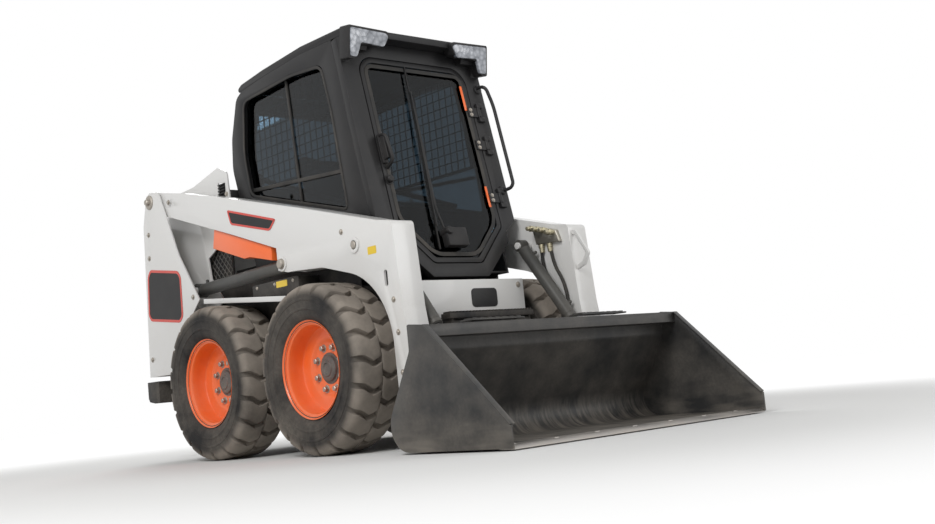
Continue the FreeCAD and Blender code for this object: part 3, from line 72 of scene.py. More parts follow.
ahead = Vector((
    -math.sin(CAMERA_YAW) * math.cos(CAMERA_PITCH),
    math.cos(CAMERA_YAW) * math.cos(CAMERA_PITCH),
    math.sin(CAMERA_PITCH),
))
level = Vector((math.cos(CAMERA_YAW), math.sin(CAMERA_YAW), 0))
upright = level.cross(ahead)
right = level * math.cos(CAMERA_ROLL) + upright * math.sin(CAMERA_ROLL)
upward = upright * math.cos(CAMERA_ROLL) - level * math.sin(CAMERA_ROLL)
lens = bpy.data.cameras.new("photo_camera")
lens.sensor_width = 36
lens.lens = FOCAL_PIXELS / PICTURE_WIDTH * lens.sensor_width
lens.clip_end = 200
camera = bpy.data.objects.new("photo_camera", lens)
bpy.context.collection.objects.link(camera)
camera.matrix_world = Matrix((
    (right.x, upward.x, -ahead.x, CAMERA_PLACE.x),
    (right.y, upward.y, -ahead.y, CAMERA_PLACE.y),
    (right.z, upward.z, -ahead.z, CAMERA_PLACE.z),
    (0, 0, 0, 1),
))
bpy.context.scene.camera = camera

# Stage: a pale floor under the wheels that fades to white further out, and a white surround that the
# camera, glass and polished metal see.
BLACK, WHITE = (0, 0, 0, 1), (1, 1, 1, 1)
FLOOR_SIZE = 60
FLOOR_DROP = 0.0005
FLOOR_GREY = (0.78, 0.78, 0.77, 1)
FADE_START, FADE_END = 2.2, 4.5
SURROUND_STRENGTH = 0.40


def node(tree, kind, values=(), **settings):
    """A new shader node with its own settings, and with values on its sockets."""
    made = tree.nodes.new("ShaderNode" + kind)
    for setting, value in settings.items():
        setattr(made, setting, value)
    for socket, value in dict(values).items():
        made.inputs[socket].default_value = value
    return made


def wire(tree, *pairs):
    """A link from each output to the input beside it."""
    for output, socket in pairs:
        tree.links.new(output, socket)


bpy.ops.object.select_all(action="DESELECT")
bpy.ops.mesh.primitive_plane_add(size=FLOOR_SIZE, location=(0, 0, -FLOOR_DROP))
floor = bpy.context.object
floor.name = "studio_floor"
floor_finish = bpy.data.materials.new("studio_floor")
floor_finish.use_nodes = True
floor_tree = floor_finish.node_tree
floor_shader = floor_tree.nodes["Principled BSDF"]
floor_shader.inputs["Roughness"].default_value = 0.9
floor_shader.inputs["Specular IOR Level"].default_value = 0.1
floor_shader.inputs["Emission Strength"].default_value = 1.0
floor_place = node(floor_tree, "TexCoord")
floor_reach = node(floor_tree, "VectorMath", operation="LENGTH")
wire(floor_tree, (floor_place.outputs["Object"], floor_reach.inputs[0]))
for socket, near, far in (("Base Color", FLOOR_GREY, BLACK), ("Emission Color", BLACK, WHITE)):
    fade = node(floor_tree, "MapRange", {"From Min": FADE_START, "From Max": FADE_END}, interpolation_type="SMOOTHSTEP")
    tint = node(floor_tree, "Mix", data_type="RGBA")
    tint.inputs["A"].default_value = near
    tint.inputs["B"].default_value = far
    wire(
        floor_tree,
        (floor_reach.outputs["Value"], fade.inputs["Value"]),
        (fade.outputs[0], tint.inputs["Factor"]),
        (tint.outputs["Result"], floor_shader.inputs[socket]),
    )
floor.data.materials.append(floor_finish)
world = bpy.data.worlds.new("studio")
world.use_nodes = True
bpy.context.scene.world = world
studio = world.node_tree
surround = studio.nodes["Background"]
surround.inputs["Color"].default_value = WHITE
surround.inputs["Strength"].default_value = SURROUND_STRENGTH
seen = node(studio, "Background", {"Color": WHITE, "Strength": 1.0})
rays = node(studio, "LightPath")
either = node(studio, "Math", operation="MAXIMUM")
any_ray = node(studio, "Math", operation="MAXIMUM")
choose = node(studio, "MixShader")
wire(
    studio,
    (rays.outputs["Is Camera Ray"], either.inputs[0]),
    (rays.outputs["Is Glossy Ray"], either.inputs[1]),
    (either.outputs[0], any_ray.inputs[0]),
    (rays.outputs["Is Transmission Ray"], any_ray.inputs[1]),
    (any_ray.outputs[0], choose.inputs["Fac"]),
    (surround.outputs[0], choose.inputs[1]),
    (seen.outputs[0], choose.inputs[2]),
    (choose.outputs[0], studio.nodes["World Output"].inputs["Surface"]),
)
bpy.context.scene.view_settings.view_transform = "Standard"

# Lights: a soft key on the machine's right, a broad fill in front and a strip from behind, all aimed at
# the middle of the machine.
MACHINE_MIDDLE = Vector((0, 0, 0.9))
for name, place, width, power in (
    ("key", (2.6, -5.2, 4.6), 3.0, 225),
    ("front_fill", (6.5, 2.5, 3.0), 4.0, 100),
    ("back_strip", (-5.0, 2.0, 4.2), 3.0, 150),
):
    lamp = bpy.data.lights.new(name, "AREA")
    lamp.shape = "DISK"
    lamp.size = width
    lamp.energy = power
    lamp_object = bpy.data.objects.new(name, lamp)
    lamp_object.location = place
    aim = MACHINE_MIDDLE - Vector(place)
    lamp_object.rotation_euler = aim.to_track_quat("-Z", "Y").to_euler()
    bpy.context.collection.objects.link(lamp_object)

# Tyres: moulded rubber with deep staggered blocks across the tread, round shoulders and two raised
# rings on the side wall. Each block is drawn flat, wrapped onto the tread and repeated round it. Dry soil
# clings to the tread.
TREAD_BLOCKS = 20
BLOCK_PITCH = 2 * math.pi / TREAD_BLOCKS
BLOCK_TAPER = 0.06
BLOCK_MIDDLE = 0.4
COLUMNS = [0.0, 0.2, 0.4, 0.6, 0.8, 1.0]
ROWS = [0.0, 0.003, 0.022, 0.045, 0.068, 0.090, 0.106, 0.119, 0.127, 0.1315]
FLOOR_RADII = [0.362, 0.362, 0.362, 0.362, 0.361, 0.360, 0.357, 0.351, 0.344, 0.335]
BLOCK_RADII = [0.387, 0.3865, 0.3865, 0.3865, 0.386, 0.3845, 0.381, 0.373, 0.361, 0.346]
BLOCK_SWAY = [0.0, 0.0, 0.10, 0.17, 0.06, -0.04, -0.06, -0.06, -0.06, -0.06]
SIDE_WALL = [
    (0.328, 0.1322), (0.322, 0.1322), (0.320, 0.1345), (0.312, 0.1345), (0.310, 0.1322), (0.294, 0.1315),
    (0.280, 0.1305), (0.278, 0.133), (0.270, 0.1325), (0.268, 0.1295), (0.252, 0.126), (0.240, 0.120),
    (0.2305, 0.1115), (0.2262, 0.106), (0.2105, 0.1046),
]
BEAD_REACH = 0.3
SOIL_START, SOIL_DEPTH = 0.338, 0.03
SOIL_COLOUR = (0.300, 0.262, 0.222, 1)
DUST_COLOUR = (0.42, 0.37, 0.31, 1)


def weather_group():
    """The effect that paint, steel and rubber share: dust that gathers low down and in patches, and an
    uneven surface, all read from the machine's own coordinates."""
    group = bpy.data.node_groups.new("weather", "ShaderNodeTree")
    for name, value in (("Dust", 0.3), ("Height", 1.0), ("Grain", 60.0)):
        group.interface.new_socket(name, in_out="INPUT", socket_type="NodeSocketFloat").default_value = value
    for name in ("Dust", "Patches", "Surface"):
        group.interface.new_socket(name, in_out="OUTPUT", socket_type="NodeSocketFloat")
    given = group.nodes.new("NodeGroupInput")
    out = group.nodes.new("NodeGroupOutput")
    place = node(group, "TexCoord")
    split = node(group, "SeparateXYZ")
    low = node(group, "MapRange", {"From Min": 0.0, "To Min": 1.0, "To Max": 0.0})
    broad = node(group, "TexNoise", {"Scale": 4.5, "Detail": 8, "Roughness": 0.62})
    fine = node(group, "TexNoise", {"Detail": 5})
    spread = node(group, "Math", {1: 0.75, 2: 0.25}, operation="MULTIPLY_ADD")
    patch = node(group, "MapRange", {"From Min": 0.36, "From Max": 0.72})
    mixed = node(group, "Math", operation="MULTIPLY")
    speck = node(group, "Math", operation="MULTIPLY")
    lift = node(group, "Math", {1: 0.45}, operation="ADD")
    dust = node(group, "Math", operation="MULTIPLY", use_clamp=True)
    wire(
        group,
        (place.outputs["Object"], split.inputs[0]),
        (split.outputs["Z"], low.inputs["Value"]),
        (given.outputs["Height"], low.inputs["From Max"]),
        (place.outputs["Object"], broad.inputs["Vector"]),
        (given.outputs["Grain"], fine.inputs["Scale"]),
        (place.outputs["Object"], fine.inputs["Vector"]),
        (low.outputs[0], spread.inputs[0]),
        (broad.outputs["Fac"], patch.inputs["Value"]),
        (patch.outputs[0], mixed.inputs[0]),
        (spread.outputs[0], mixed.inputs[1]),
        (mixed.outputs[0], speck.inputs[0]),
        (fine.outputs["Fac"], lift.inputs[0]),
        (lift.outputs[0], speck.inputs[1]),
        (speck.outputs[0], dust.inputs[0]),
        (given.outputs["Dust"], dust.inputs[1]),
        (dust.outputs[0], out.inputs["Dust"]),
        (broad.outputs["Fac"], out.inputs["Patches"]),
        (fine.outputs["Fac"], out.inputs["Surface"]),
    )
    return group


WEATHER = weather_group()


def weathered(
    name, colour, roughness, dust, height=1.0, grain=60.0, bump=0.1, metallic=0.0, coat=0.0, shade=0.12, specular=0.5
):
    """A material with one colour that dust, patches and a grained surface break up."""
    material = bpy.data.materials.new(name)
    material.use_nodes = True
    tree = material.node_tree
    shader = tree.nodes["Principled BSDF"]
    shader.inputs["Metallic"].default_value = metallic
    shader.inputs["Coat Weight"].default_value = coat
    shader.inputs["Specular IOR Level"].default_value = specular
    weather = tree.nodes.new("ShaderNodeGroup")
    weather.node_tree = WEATHER
    weather.inputs["Dust"].default_value = dust
    weather.inputs["Height"].default_value = height
    weather.inputs["Grain"].default_value = grain
    tone = node(tree, "Mix", data_type="RGBA")
    tone.inputs["A"].default_value = tuple(c * (1 - shade) for c in colour) + (1,)
    tone.inputs["B"].default_value = tuple(min(1, c * (1 + shade)) for c in colour) + (1,)
    dusty = node(tree, "Mix", data_type="RGBA")
    dusty.inputs["B"].default_value = DUST_COLOUR
    rough = node(tree, "MapRange", {"To Min": roughness, "To Max": min(1.0, roughness + 0.45)})
    relief = node(tree, "Bump", {"Strength": bump, "Distance": 0.002})
    wire(
        tree,
        (weather.outputs["Patches"], tone.inputs["Factor"]),
        (weather.outputs["Dust"], dusty.inputs["Factor"]),
        (tone.outputs["Result"], dusty.inputs["A"]),
        (dusty.outputs["Result"], shader.inputs["Base Color"]),
        (weather.outputs["Dust"], rough.inputs["Value"]),
        (rough.outputs[0], shader.inputs["Roughness"]),
        (weather.outputs["Surface"], relief.inputs["Height"]),
        (relief.outputs[0], shader.inputs["Normal"]),
    )
    return material


def covered(material, colour, mask):
    """A second colour over a material's own, where the mask says."""
    tree = material.node_tree
    shader = tree.nodes["Principled BSDF"]
    own_colour = shader.inputs["Base Color"].links[0].from_socket
    cover = node(tree, "Mix", data_type="RGBA")
    cover.inputs["B"].default_value = colour
    wire(
        tree,
        (mask, cover.inputs["Factor"]),
        (own_colour, cover.inputs["A"]),
        (cover.outputs["Result"], shader.inputs["Base Color"]),
    )


def deselect():
    """Object mode with nothing selected."""
    if bpy.context.object and bpy.context.object.mode != "OBJECT":
        bpy.ops.object.mode_set(mode="OBJECT")
    bpy.ops.object.select_all(action="DESELECT")


def pick(piece):
    """Only this piece selected and active."""
    deselect()
    piece.select_set(True)
    bpy.context.view_layer.objects.active = piece


def smooth(piece, degrees=35):
    """Smooth faces, with the edges sharper than the angle kept crisp."""
    pick(piece)
    bpy.ops.object.shade_smooth_by_angle(angle=math.radians(degrees))


def joined(name, pieces):
    """Several pieces as one, under this name."""
    deselect()
    for piece in pieces:
        piece.select_set(True)
    bpy.context.view_layer.objects.active = pieces[0]
    if len(pieces) > 1:
        bpy.ops.object.join()
    bpy.context.object.name = name
    return bpy.context.object


def finished(piece, name, body, material):
    """The piece with its place in its mesh, its finish and the body it rides on."""
    pick(piece)
    bpy.ops.object.transform_apply(location=True, rotation=True, scale=True)
    piece.name = name
    piece.data.materials.clear()
    piece.data.materials.append(material)
    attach(piece, body)
    return piece


def repeated(master, places, name):
    """Copies of a master at the places given, joined as one piece; the master goes."""
    copies = []
    for place in places:
        copy = bpy.data.objects.new(name, master.data.copy())
        bpy.context.collection.objects.link(copy)
        copy.matrix_world = place @ master.matrix_world
        copies.append(copy)
    whole = joined(name, copies)
    bpy.data.objects.remove(master)
    return whole


def paint(nodes, material):
    """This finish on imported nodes."""
    for name in nodes:
        piece = frame["nodes"][name]
        piece.data.materials.clear()
        piece.data.materials.append(material)


TURN_LEFT = Matrix.Identity(4)
TURN_RIGHT = Matrix.Rotation(math.pi, 4, "Z")
TURN_FORWARD = Matrix.Rotation(-math.pi / 2, 4, "Z")
TURN_BACK = Matrix.Rotation(math.pi / 2, 4, "Z")
TURN_UP = Matrix.Rotation(math.pi / 2, 4, "X")
TURN_DOWN = Matrix.Rotation(-math.pi / 2, 4, "X")


def at(x, y, z, turn=TURN_LEFT):
    """A place, turned so that the piece's +Y points as the name of the turn says."""
    return Matrix.Translation((x, y, z)) @ turn


WHEEL_PLACES = {}
for where in ("front_right", "front_left", "rear_right", "rear_left"):
    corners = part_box("tyre_" + where)
    middle = (corners[0] + corners[1]) / 2
    WHEEL_PLACES[where] = at(middle.x, middle.y, middle.z, TURN_RIGHT if "right" in where else TURN_LEFT)


def on_wheels(master, kind, material, node_kind=None):
    """A copy of the master on each wheel, shown in place of a node of this kind; the master goes."""
    for where, place in WHEEL_PLACES.items():
        piece = bpy.data.objects.new(kind + where, master.data.copy())
        bpy.context.collection.objects.link(piece)
        piece.matrix_world = place @ master.matrix_world
        finished(piece, kind + where, "wheel_" + where, material)
        if node_kind:
            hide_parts(node_kind + where)
            paint([node_kind + where], material)
    bpy.data.objects.remove(master)


def tread_tile(side):
    """One block of one half of the tread, with the floor beside it."""
    deselect()
    bpy.ops.mesh.primitive_grid_add(x_subdivisions=len(COLUMNS) - 1, y_subdivisions=len(ROWS) - 1, size=2)
    tile = bpy.context.object
    bpy.ops.object.mode_set(mode="EDIT")
    bpy.ops.mesh.select_all(action="DESELECT")
    mesh = bmesh.from_edit_mesh(tile.data)
    block_end = 2 * (len(COLUMNS) - 2) / (len(COLUMNS) - 1) - 1
    block_start = 2 / (len(ROWS) - 1) - 1
    for face in mesh.faces:
        centre = face.calc_center_median()
        face.select = centre.x < block_end and centre.y > block_start
    bmesh.update_edit_mesh(tile.data)
    bpy.ops.mesh.extrude_region_move(TRANSFORM_OT_translate={"value": (0, 0, 1)})
    bpy.ops.object.mode_set(mode="OBJECT")
    stagger = 0.5 if side < 0 else 0
    for vertex in tile.data.vertices:
        column = round((vertex.co.x + 1) / 2 * (len(COLUMNS) - 1))
        row = round((vertex.co.y + 1) / 2 * (len(ROWS) - 1))
        share = COLUMNS[column] + BLOCK_SWAY[row] + stagger
        radius = FLOOR_RADII[row]
        if vertex.co.z > 0.5:
            radius = BLOCK_RADII[row]
            share += (BLOCK_MIDDLE - COLUMNS[column]) * BLOCK_TAPER
        angle = share * BLOCK_PITCH
        vertex.co = (radius * math.sin(angle), side * ROWS[row], -radius * math.cos(angle))
    return tile


def tyre_master():
    """A whole tyre at the origin: two halves of tread, the side walls and the bead between them."""
    turns = [Matrix.Rotation(BLOCK_PITCH * step, 4, "Y") for step in range(TREAD_BLOCKS)]
    tyre = joined("tyre", [repeated(tread_tile(side), turns, "tyre") for side in (1, -1)])
    bpy.ops.object.mode_set(mode="EDIT")
    bpy.ops.mesh.select_all(action="SELECT")
    bpy.ops.mesh.remove_doubles(threshold=0.0002)
    for side in (1, -1):
        bpy.ops.mesh.select_all(action="DESELECT")
        mesh = bmesh.from_edit_mesh(tyre.data)
        mesh.select_mode = {"EDGE"}
        for edge in mesh.edges:
            edge.select = edge.is_boundary and all(v.co.y * side > ROWS[-1] - 0.001 for v in edge.verts)
        bmesh.update_edit_mesh(tyre.data)
        for radius, distance in SIDE_WALL:
            bpy.ops.mesh.extrude_region_move(TRANSFORM_OT_translate={"value": (0, 0, 0)})
            mesh = bmesh.from_edit_mesh(tyre.data)
            for vertex in mesh.verts:
                if vertex.select:
                    along = math.hypot(vertex.co.x, vertex.co.z)
                    vertex.co = (vertex.co.x * radius / along, distance * side, vertex.co.z * radius / along)
            bmesh.update_edit_mesh(tyre.data)
    bpy.ops.mesh.select_all(action="DESELECT")
    mesh = bmesh.from_edit_mesh(tyre.data)
    for edge in mesh.edges:
        edge.select = edge.is_boundary and all(math.hypot(v.co.x, v.co.z) < BEAD_REACH for v in edge.verts)
    bmesh.update_edit_mesh(tyre.data)
    bpy.ops.mesh.bridge_edge_loops()
    bpy.ops.mesh.select_all(action="SELECT")
    bpy.ops.mesh.remove_doubles(threshold=0.0001)
    bpy.ops.mesh.normals_make_consistent(inside=False)
    bpy.ops.object.mode_set(mode="OBJECT")
    edge_wear = tyre.modifiers.new("block_edges", "BEVEL")
    edge_wear.width = 0.0035
    edge_wear.segments = 2
    edge_wear.limit_method = "ANGLE"
    edge_wear.angle_limit = math.radians(50)
    bpy.ops.object.modifier_apply(modifier="block_edges")
    smooth(tyre, 40)
    dusty = tyre.data.attributes.new("tread_dust", "FLOAT", "POINT")
    for vertex in tyre.data.vertices:
        radius = math.hypot(vertex.co.x, vertex.co.z)
        dusty.data[vertex.index].value = min(1.0, max(0.0, (radius - SOIL_START) / SOIL_DEPTH))
    return tyre


RUBBER = weathered("tyre_rubber", (0.016, 0.015, 0.015), 0.78, 0.34, 1.1, 70, 0.25, specular=0.3)
rubber_tree = RUBBER.node_tree
rubber_weather = [each for each in rubber_tree.nodes if each.type == "GROUP"][0]
tread = node(rubber_tree, "Attribute", attribute_name="tread_dust")
soil_patches = node(rubber_tree, "MapRange", {"From Min": 0.3, "From Max": 0.6, "To Min": 0.45})
soil_share = node(rubber_tree, "Math", operation="MULTIPLY")
wire(
    rubber_tree,
    (rubber_weather.outputs["Patches"], soil_patches.inputs["Value"]),
    (soil_patches.outputs[0], soil_share.inputs[0]),
    (tread.outputs["Fac"], soil_share.inputs[1]),
)
covered(RUBBER, SOIL_COLOUR, soil_share.outputs[0])
on_wheels(tyre_master(), "tyre_rubber_", RUBBER, "tyre_")

# Rims: pressed steel dishes painted orange, each with a flat centre disc deep inside, eight wheel bolts
# on washers and a dark cap over the hub's end.
RIM_PROFILE = [
    (0.0, 0.000), (0.056, 0.000), (0.112, 0.000), (0.122, 0.003), (0.130, 0.010), (0.142, 0.0125),
    (0.176, 0.0125), (0.1875, 0.016), (0.1925, 0.024), (0.1945, 0.060), (0.1960, 0.086), (0.2000, 0.094),
    (0.2085, 0.099), (0.2150, 0.1045), (0.2190, 0.1105), (0.2218, 0.1120), (0.2225, 0.1105), (0.2200, 0.1055),
    (0.2088, 0.1040), (0.2088, -0.1040), (0.2200, -0.1055), (0.2218, -0.1115), (0.2160, -0.1115),
    (0.2010, -0.0980), (0.1990, -0.0200), (0.1900, -0.0100), (0.1300, -0.0080), (0.0900, -0.0160),
    (0.0560, -0.0200), (0.0560, -0.0740), (0.0, -0.0740),
]
HUB_CAP_PROFILE = [
    (0.0, 0.019), (0.022, 0.019), (0.026, 0.024), (0.034, 0.024), (0.038, 0.019), (0.050, 0.018), (0.057, 0.013),
    (0.059, 0.004), (0.071, 0.003), (0.071, -0.002), (0.0, -0.002),
]
WHEEL_BOLTS = 8
BOLT_CIRCLE = 0.1
ORANGE = weathered("wheel_orange", (0.90, 0.145, 0.016), 0.36, 0.30, 0.75, 120, 0.06, coat=0.25, shade=0.10)
HUB_GREY = weathered("hub_grey", (0.055, 0.052, 0.050), 0.5, 0.6, 0.8, 120, 0.15)
BOLT_STEEL = weathered("bolt_steel", (0.36, 0.33, 0.29), 0.42, 0.5, 1.0, 200, 0.1, metallic=0.8)


def spun(name, profile, steps=48):
    """A turned shape about Y from a profile of radius and distance along Y."""
    deselect()
    bpy.ops.mesh.primitive_plane_add(size=0.001)
    piece = bpy.context.object
    piece.name = name
    bpy.ops.object.mode_set(mode="EDIT")
    bpy.ops.mesh.select_mode(type="VERT")
    bpy.ops.mesh.select_all(action="SELECT")
    bpy.ops.mesh.merge(type="CENTER")
    mesh = bmesh.from_edit_mesh(piece.data)
    for vertex in mesh.verts:
        vertex.co = Vector((profile[0][0], profile[0][1], 0))
    bmesh.update_edit_mesh(piece.data)
    for before, after in zip(profile, profile[1:]):
        step = (after[0] - before[0], after[1] - before[1], 0)
        bpy.ops.mesh.extrude_region_move(TRANSFORM_OT_translate={"value": step})
    bpy.ops.mesh.select_all(action="SELECT")
    bpy.ops.mesh.spin(steps=steps, angle=2 * math.pi, center=(0, 0, 0), axis=(0, 1, 0))
    bpy.ops.mesh.select_all(action="SELECT")
    bpy.ops.mesh.remove_doubles(threshold=0.00005)
    bpy.ops.mesh.normals_make_consistent(inside=False)
    bpy.ops.object.mode_set(mode="OBJECT")
    return piece


def hex_bolt(radius, height):
    """A hexagon head with a chamfered top on a round washer, standing on the plane y = 0."""
    washer = spun("washer", [(0.0, 0.002), (radius * 1.35, 0.002), (radius * 1.5, 0.001), (radius * 1.5, -0.001)], 14)
    head = spun("head", [(0.0, height), (radius * 0.80, height), (radius, height - radius * 0.18), (radius, 0.0)], 6)
    return joined("head", [head, washer])


rim_master = spun("rim", RIM_PROFILE, 64)
smooth(rim_master, 30)
on_wheels(rim_master, "rim_dish_", ORANGE, "rim_")
cap_master = spun("hub_cap", HUB_CAP_PROFILE, 40)
smooth(cap_master, 35)
on_wheels(cap_master, "hub_cap_", HUB_GREY)
bolt_turns = [2 * math.pi * (number + 0.5) / WHEEL_BOLTS for number in range(WHEEL_BOLTS)]
bolt_places = [at(BOLT_CIRCLE * math.cos(angle), 0.0, BOLT_CIRCLE * math.sin(angle)) for angle in bolt_turns]
bolts_master = repeated(hex_bolt(0.0130, 0.020), bolt_places, "wheel_bolts")
on_wheels(bolts_master, "wheel_bolts_", BOLT_STEEL)

# Painted steel: the sheet and plate work keeps its sizes, and every sharp edge is broken the way that
# ground and painted plate is. White body, charcoal cab, black frame and bucket, grey cylinders.
BODY_WHITE = weathered("body_white", (0.68, 0.675, 0.66), 0.30, 0.30, 1.1, 140, 0.04, coat=0.4, shade=0.03)
CAB_BLACK = weathered("cab_black", (0.012, 0.012, 0.013), 0.45, 0.06, 1.6, 160, 0.04, specular=0.28)
FRAME_BLACK = weathered("frame_black", (0.012, 0.012, 0.013), 0.55, 0.40, 1.1, 90, 0.12, specular=0.25)
BUCKET_BLACK = weathered("bucket_black", (0.028, 0.028, 0.028), 0.40, 0.24, 0.8, 80, 0.10, specular=0.35)
COUPLER_STEEL = weathered("coupler_steel", (0.40, 0.38, 0.33), 0.40, 0.35, 1.5, 60, 0.12, metallic=0.9)
WORN_STEEL = weathered("worn_steel", (0.40, 0.38, 0.36), 0.38, 0.45, 0.5, 50, 0.15, metallic=0.9)
CHROME = weathered("rod_chrome", (0.75, 0.75, 0.76), 0.12, 0.06, 1.0, 200, 0.02, metallic=1.0)
CYLINDER_GREY = weathered("cylinder_grey", (0.055, 0.055, 0.052), 0.42, 0.25, 1.2, 120, 0.05, specular=0.3)
PLASTIC = weathered("black_plastic", (0.010, 0.010, 0.011), 0.55, 0.10, 1.5, 300, 0.1, specular=0.3)
# the bucket's floor is scoured by the load: the paint gives way to dull steel low down, in streaks
SCOUR_HIGH, SCOUR_LOW = 0.16, 0.012
BARE_STEEL = (0.19, 0.17, 0.145, 1)
bucket_tree = BUCKET_BLACK.node_tree
bucket_place = node(bucket_tree, "TexCoord")
bucket_split = node(bucket_tree, "SeparateXYZ")
scour = node(bucket_tree, "MapRange", {"From Min": SCOUR_HIGH, "From Max": SCOUR_LOW})
stretched = node(bucket_tree, "Mapping", {"Scale": (3.0, 55.0, 12.0)})
streaks = node(bucket_tree, "TexNoise", {"Scale": 1.0, "Detail": 6})
streak_share = node(bucket_tree, "MapRange", {"From Min": 0.42, "From Max": 0.66})
scoured = node(bucket_tree, "Math", operation="MULTIPLY")
wire(
    bucket_tree,
    (bucket_place.outputs["Object"], bucket_split.inputs[0]),
    (bucket_split.outputs["Z"], scour.inputs["Value"]),
    (bucket_place.outputs["Object"], stretched.inputs["Vector"]),
    (stretched.outputs[0], streaks.inputs["Vector"]),
    (streaks.outputs["Fac"], streak_share.inputs["Value"]),
    (streak_share.outputs[0], scoured.inputs[0]),
    (scour.outputs[0], scoured.inputs[1]),
)
covered(BUCKET_BLACK, BARE_STEEL, scoured.outputs[0])


def soften(piece, width, angle=40):
    """Edges broken all round with two facets each."""
    pick(piece)
    broken = piece.modifiers.new("broken_edges", "BEVEL")
    broken.width = width
    broken.segments = 2
    broken.limit_method = "ANGLE"
    broken.angle_limit = math.radians(angle)
    bpy.ops.object.modifier_apply(modifier="broken_edges")


def dressed(name, material, width):
    """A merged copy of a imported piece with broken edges, shown in its place."""
    source = frame["nodes"][name]
    body = source["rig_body"]
    piece = source.copy()
    piece.data = source.data.copy()
    del piece["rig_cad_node"]
    bpy.context.collection.objects.link(piece)
    paint([name], material)
    piece.parent = None
    piece.matrix_world = Matrix.Identity(4)
    pick(piece)
    bpy.ops.object.mode_set(mode="EDIT")
    bpy.ops.mesh.select_all(action="SELECT")
    bpy.ops.mesh.remove_doubles(threshold=0.00002)
    bpy.ops.mesh.dissolve_limited(angle_limit=math.radians(0.4))
    bpy.ops.mesh.normals_make_consistent(inside=False)
    bpy.ops.object.mode_set(mode="OBJECT")
    if width:
        soften(piece, width)
    smooth(piece, 32)
    finished(piece, name + "_painted", body, material)
    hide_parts(name)


for group, finish, slot, width in (
    (["tail_upright_left", "tail_upright_right", "tailgate", "lift_arm_left", "lift_arm_right", "front_panel",
      "fenders", "guard_handle"], BODY_WHITE, "body_paint", 0.002),
    (["arm_cross_tube"], BODY_WHITE, "body_paint", 0.001),
    (["arm_support"], ORANGE, "wheel_paint", 0.003),
    (["cab_side_left", "cab_side_right", "cab_roof", "cab_rear", "cab_front_frame", "cab_floor", "door_frame",
      "door_hinges", "engine_hood", "vent_panel"], CAB_BLACK, "cab_paint", 0.0025),
    (["side_screens"], CAB_BLACK, "cab_paint", 0),
    (["seat_bar"], CAB_BLACK, "cab_paint", 0.001),
    (["chassis_tub", "rear_bumper", "side_grilles", "front_step", "side_covers", "axle_housings", "engine_block"],
     FRAME_BLACK, "frame_paint", 0.002),
    (["bucket_carrier", "bucket_shell"], BUCKET_BLACK, "bucket_paint", 0.0015),
    (["cutting_edge"], WORN_STEEL, "worn_steel", 0.001),
    (["coupler_block"], COUPLER_STEEL, "coupler_steel", 0.004),
    (["lift_barrels", "tilt_barrels"], CYLINDER_GREY, "cylinder_paint", 0.0015),
    (["control_levers", "door_latch"], PLASTIC, "black_plastic", 0.003),
):
    for name in group:
        dressed(name, finish, width)
paint(["lift_rods", "tilt_rods"], CHROME)

# Windows: tinted glass in the sides, the back and the door, held by black rubber in the sides and the
# door. A bar divides each side window from top to bottom, and a sill crosses it low down.
CAB_SIDE = 0.440
SIDE_WINDOW = [
    (-0.5795, 1.326), (-0.6195, 1.560), (-0.5855, 1.838), (-0.1335, 1.862), (0.1305, 1.842), (0.1865, 1.600),
    (0.2525, 1.106),
]
WINDOW_BAR = [(-0.165, 1.190), (-0.150, 1.186), (-0.205, 1.852), (-0.220, 1.852)]
WINDOW_SILL = [(-0.585, 1.372), (-0.585, 1.352), (0.212, 1.300), (0.210, 1.318)]
SEAL = weathered("window_rubber", (0.012, 0.012, 0.012), 0.75, 0.25, 2.0, 200, 0.1)
glass = bpy.data.materials.new("tinted_glass")
glass.use_nodes = True
glass_shader = glass.node_tree.nodes["Principled BSDF"]
glass_shader.inputs["Base Color"].default_value = (0.115, 0.155, 0.185, 1)
glass_shader.inputs["Roughness"].default_value = 0.02
glass_shader.inputs["Transmission Weight"].default_value = 1.0
glass_shader.inputs["IOR"].default_value = 1.3
paint(["cab_glass", "door_glass"], glass)


def row_of_points(name, points):
    """Vertices in a row through points, in edit mode with the last one selected."""
    deselect()
    bpy.ops.mesh.primitive_plane_add(size=0.001)
    piece = bpy.context.object
    piece.name = name
    bpy.ops.object.mode_set(mode="EDIT")
    bpy.ops.mesh.select_mode(type="VERT")
    bpy.ops.mesh.select_all(action="SELECT")
    bpy.ops.mesh.merge(type="CENTER")
    bpy.ops.transform.translate(value=points[0])
    for before, after in zip(points, points[1:]):
        step = tuple(b - a for a, b in zip(before, after))
        bpy.ops.mesh.extrude_region_move(TRANSFORM_OT_translate={"value": step})
    return piece


def stand(piece, place):
    """The piece moved to its place, with that place in its mesh."""
    pick(piece)
    piece.matrix_world = place @ piece.matrix_world
    bpy.ops.object.transform_apply(location=True, rotation=True, scale=True)
    return piece


def flat_plate(name, outline, thickness, corner=0.0, opening=0.0, edge=0.0, side=0.0):
    """A plate from the plane y = side towards +Y; its outline gives x and z. Corners are rounded, the
    middle is opened to leave a border, and the edges are broken."""
    piece = row_of_points(name, [(x, 0, z) for x, z in outline])
    bpy.ops.mesh.select_all(action="SELECT")
    bpy.ops.mesh.edge_face_add()
    if corner:
        bpy.ops.mesh.bevel(offset=corner, segments=4, affect="VERTICES")
    if opening:
        bpy.ops.mesh.select_mode(type="FACE")
        bpy.ops.mesh.select_all(action="SELECT")
        bpy.ops.mesh.inset(thickness=opening, depth=0)
        bpy.ops.mesh.delete(type="FACE")
    bpy.ops.mesh.select_mode(type="FACE")
    bpy.ops.mesh.select_all(action="SELECT")
    bpy.ops.mesh.extrude_region_move(TRANSFORM_OT_translate={"value": (0, thickness, 0)})
    bpy.ops.mesh.select_all(action="SELECT")
    bpy.ops.mesh.normals_make_consistent(inside=False)
    bpy.ops.object.mode_set(mode="OBJECT")
    if edge:
        soften(piece, edge)
        smooth(piece)
    return stand(piece, at(0, side, 0))


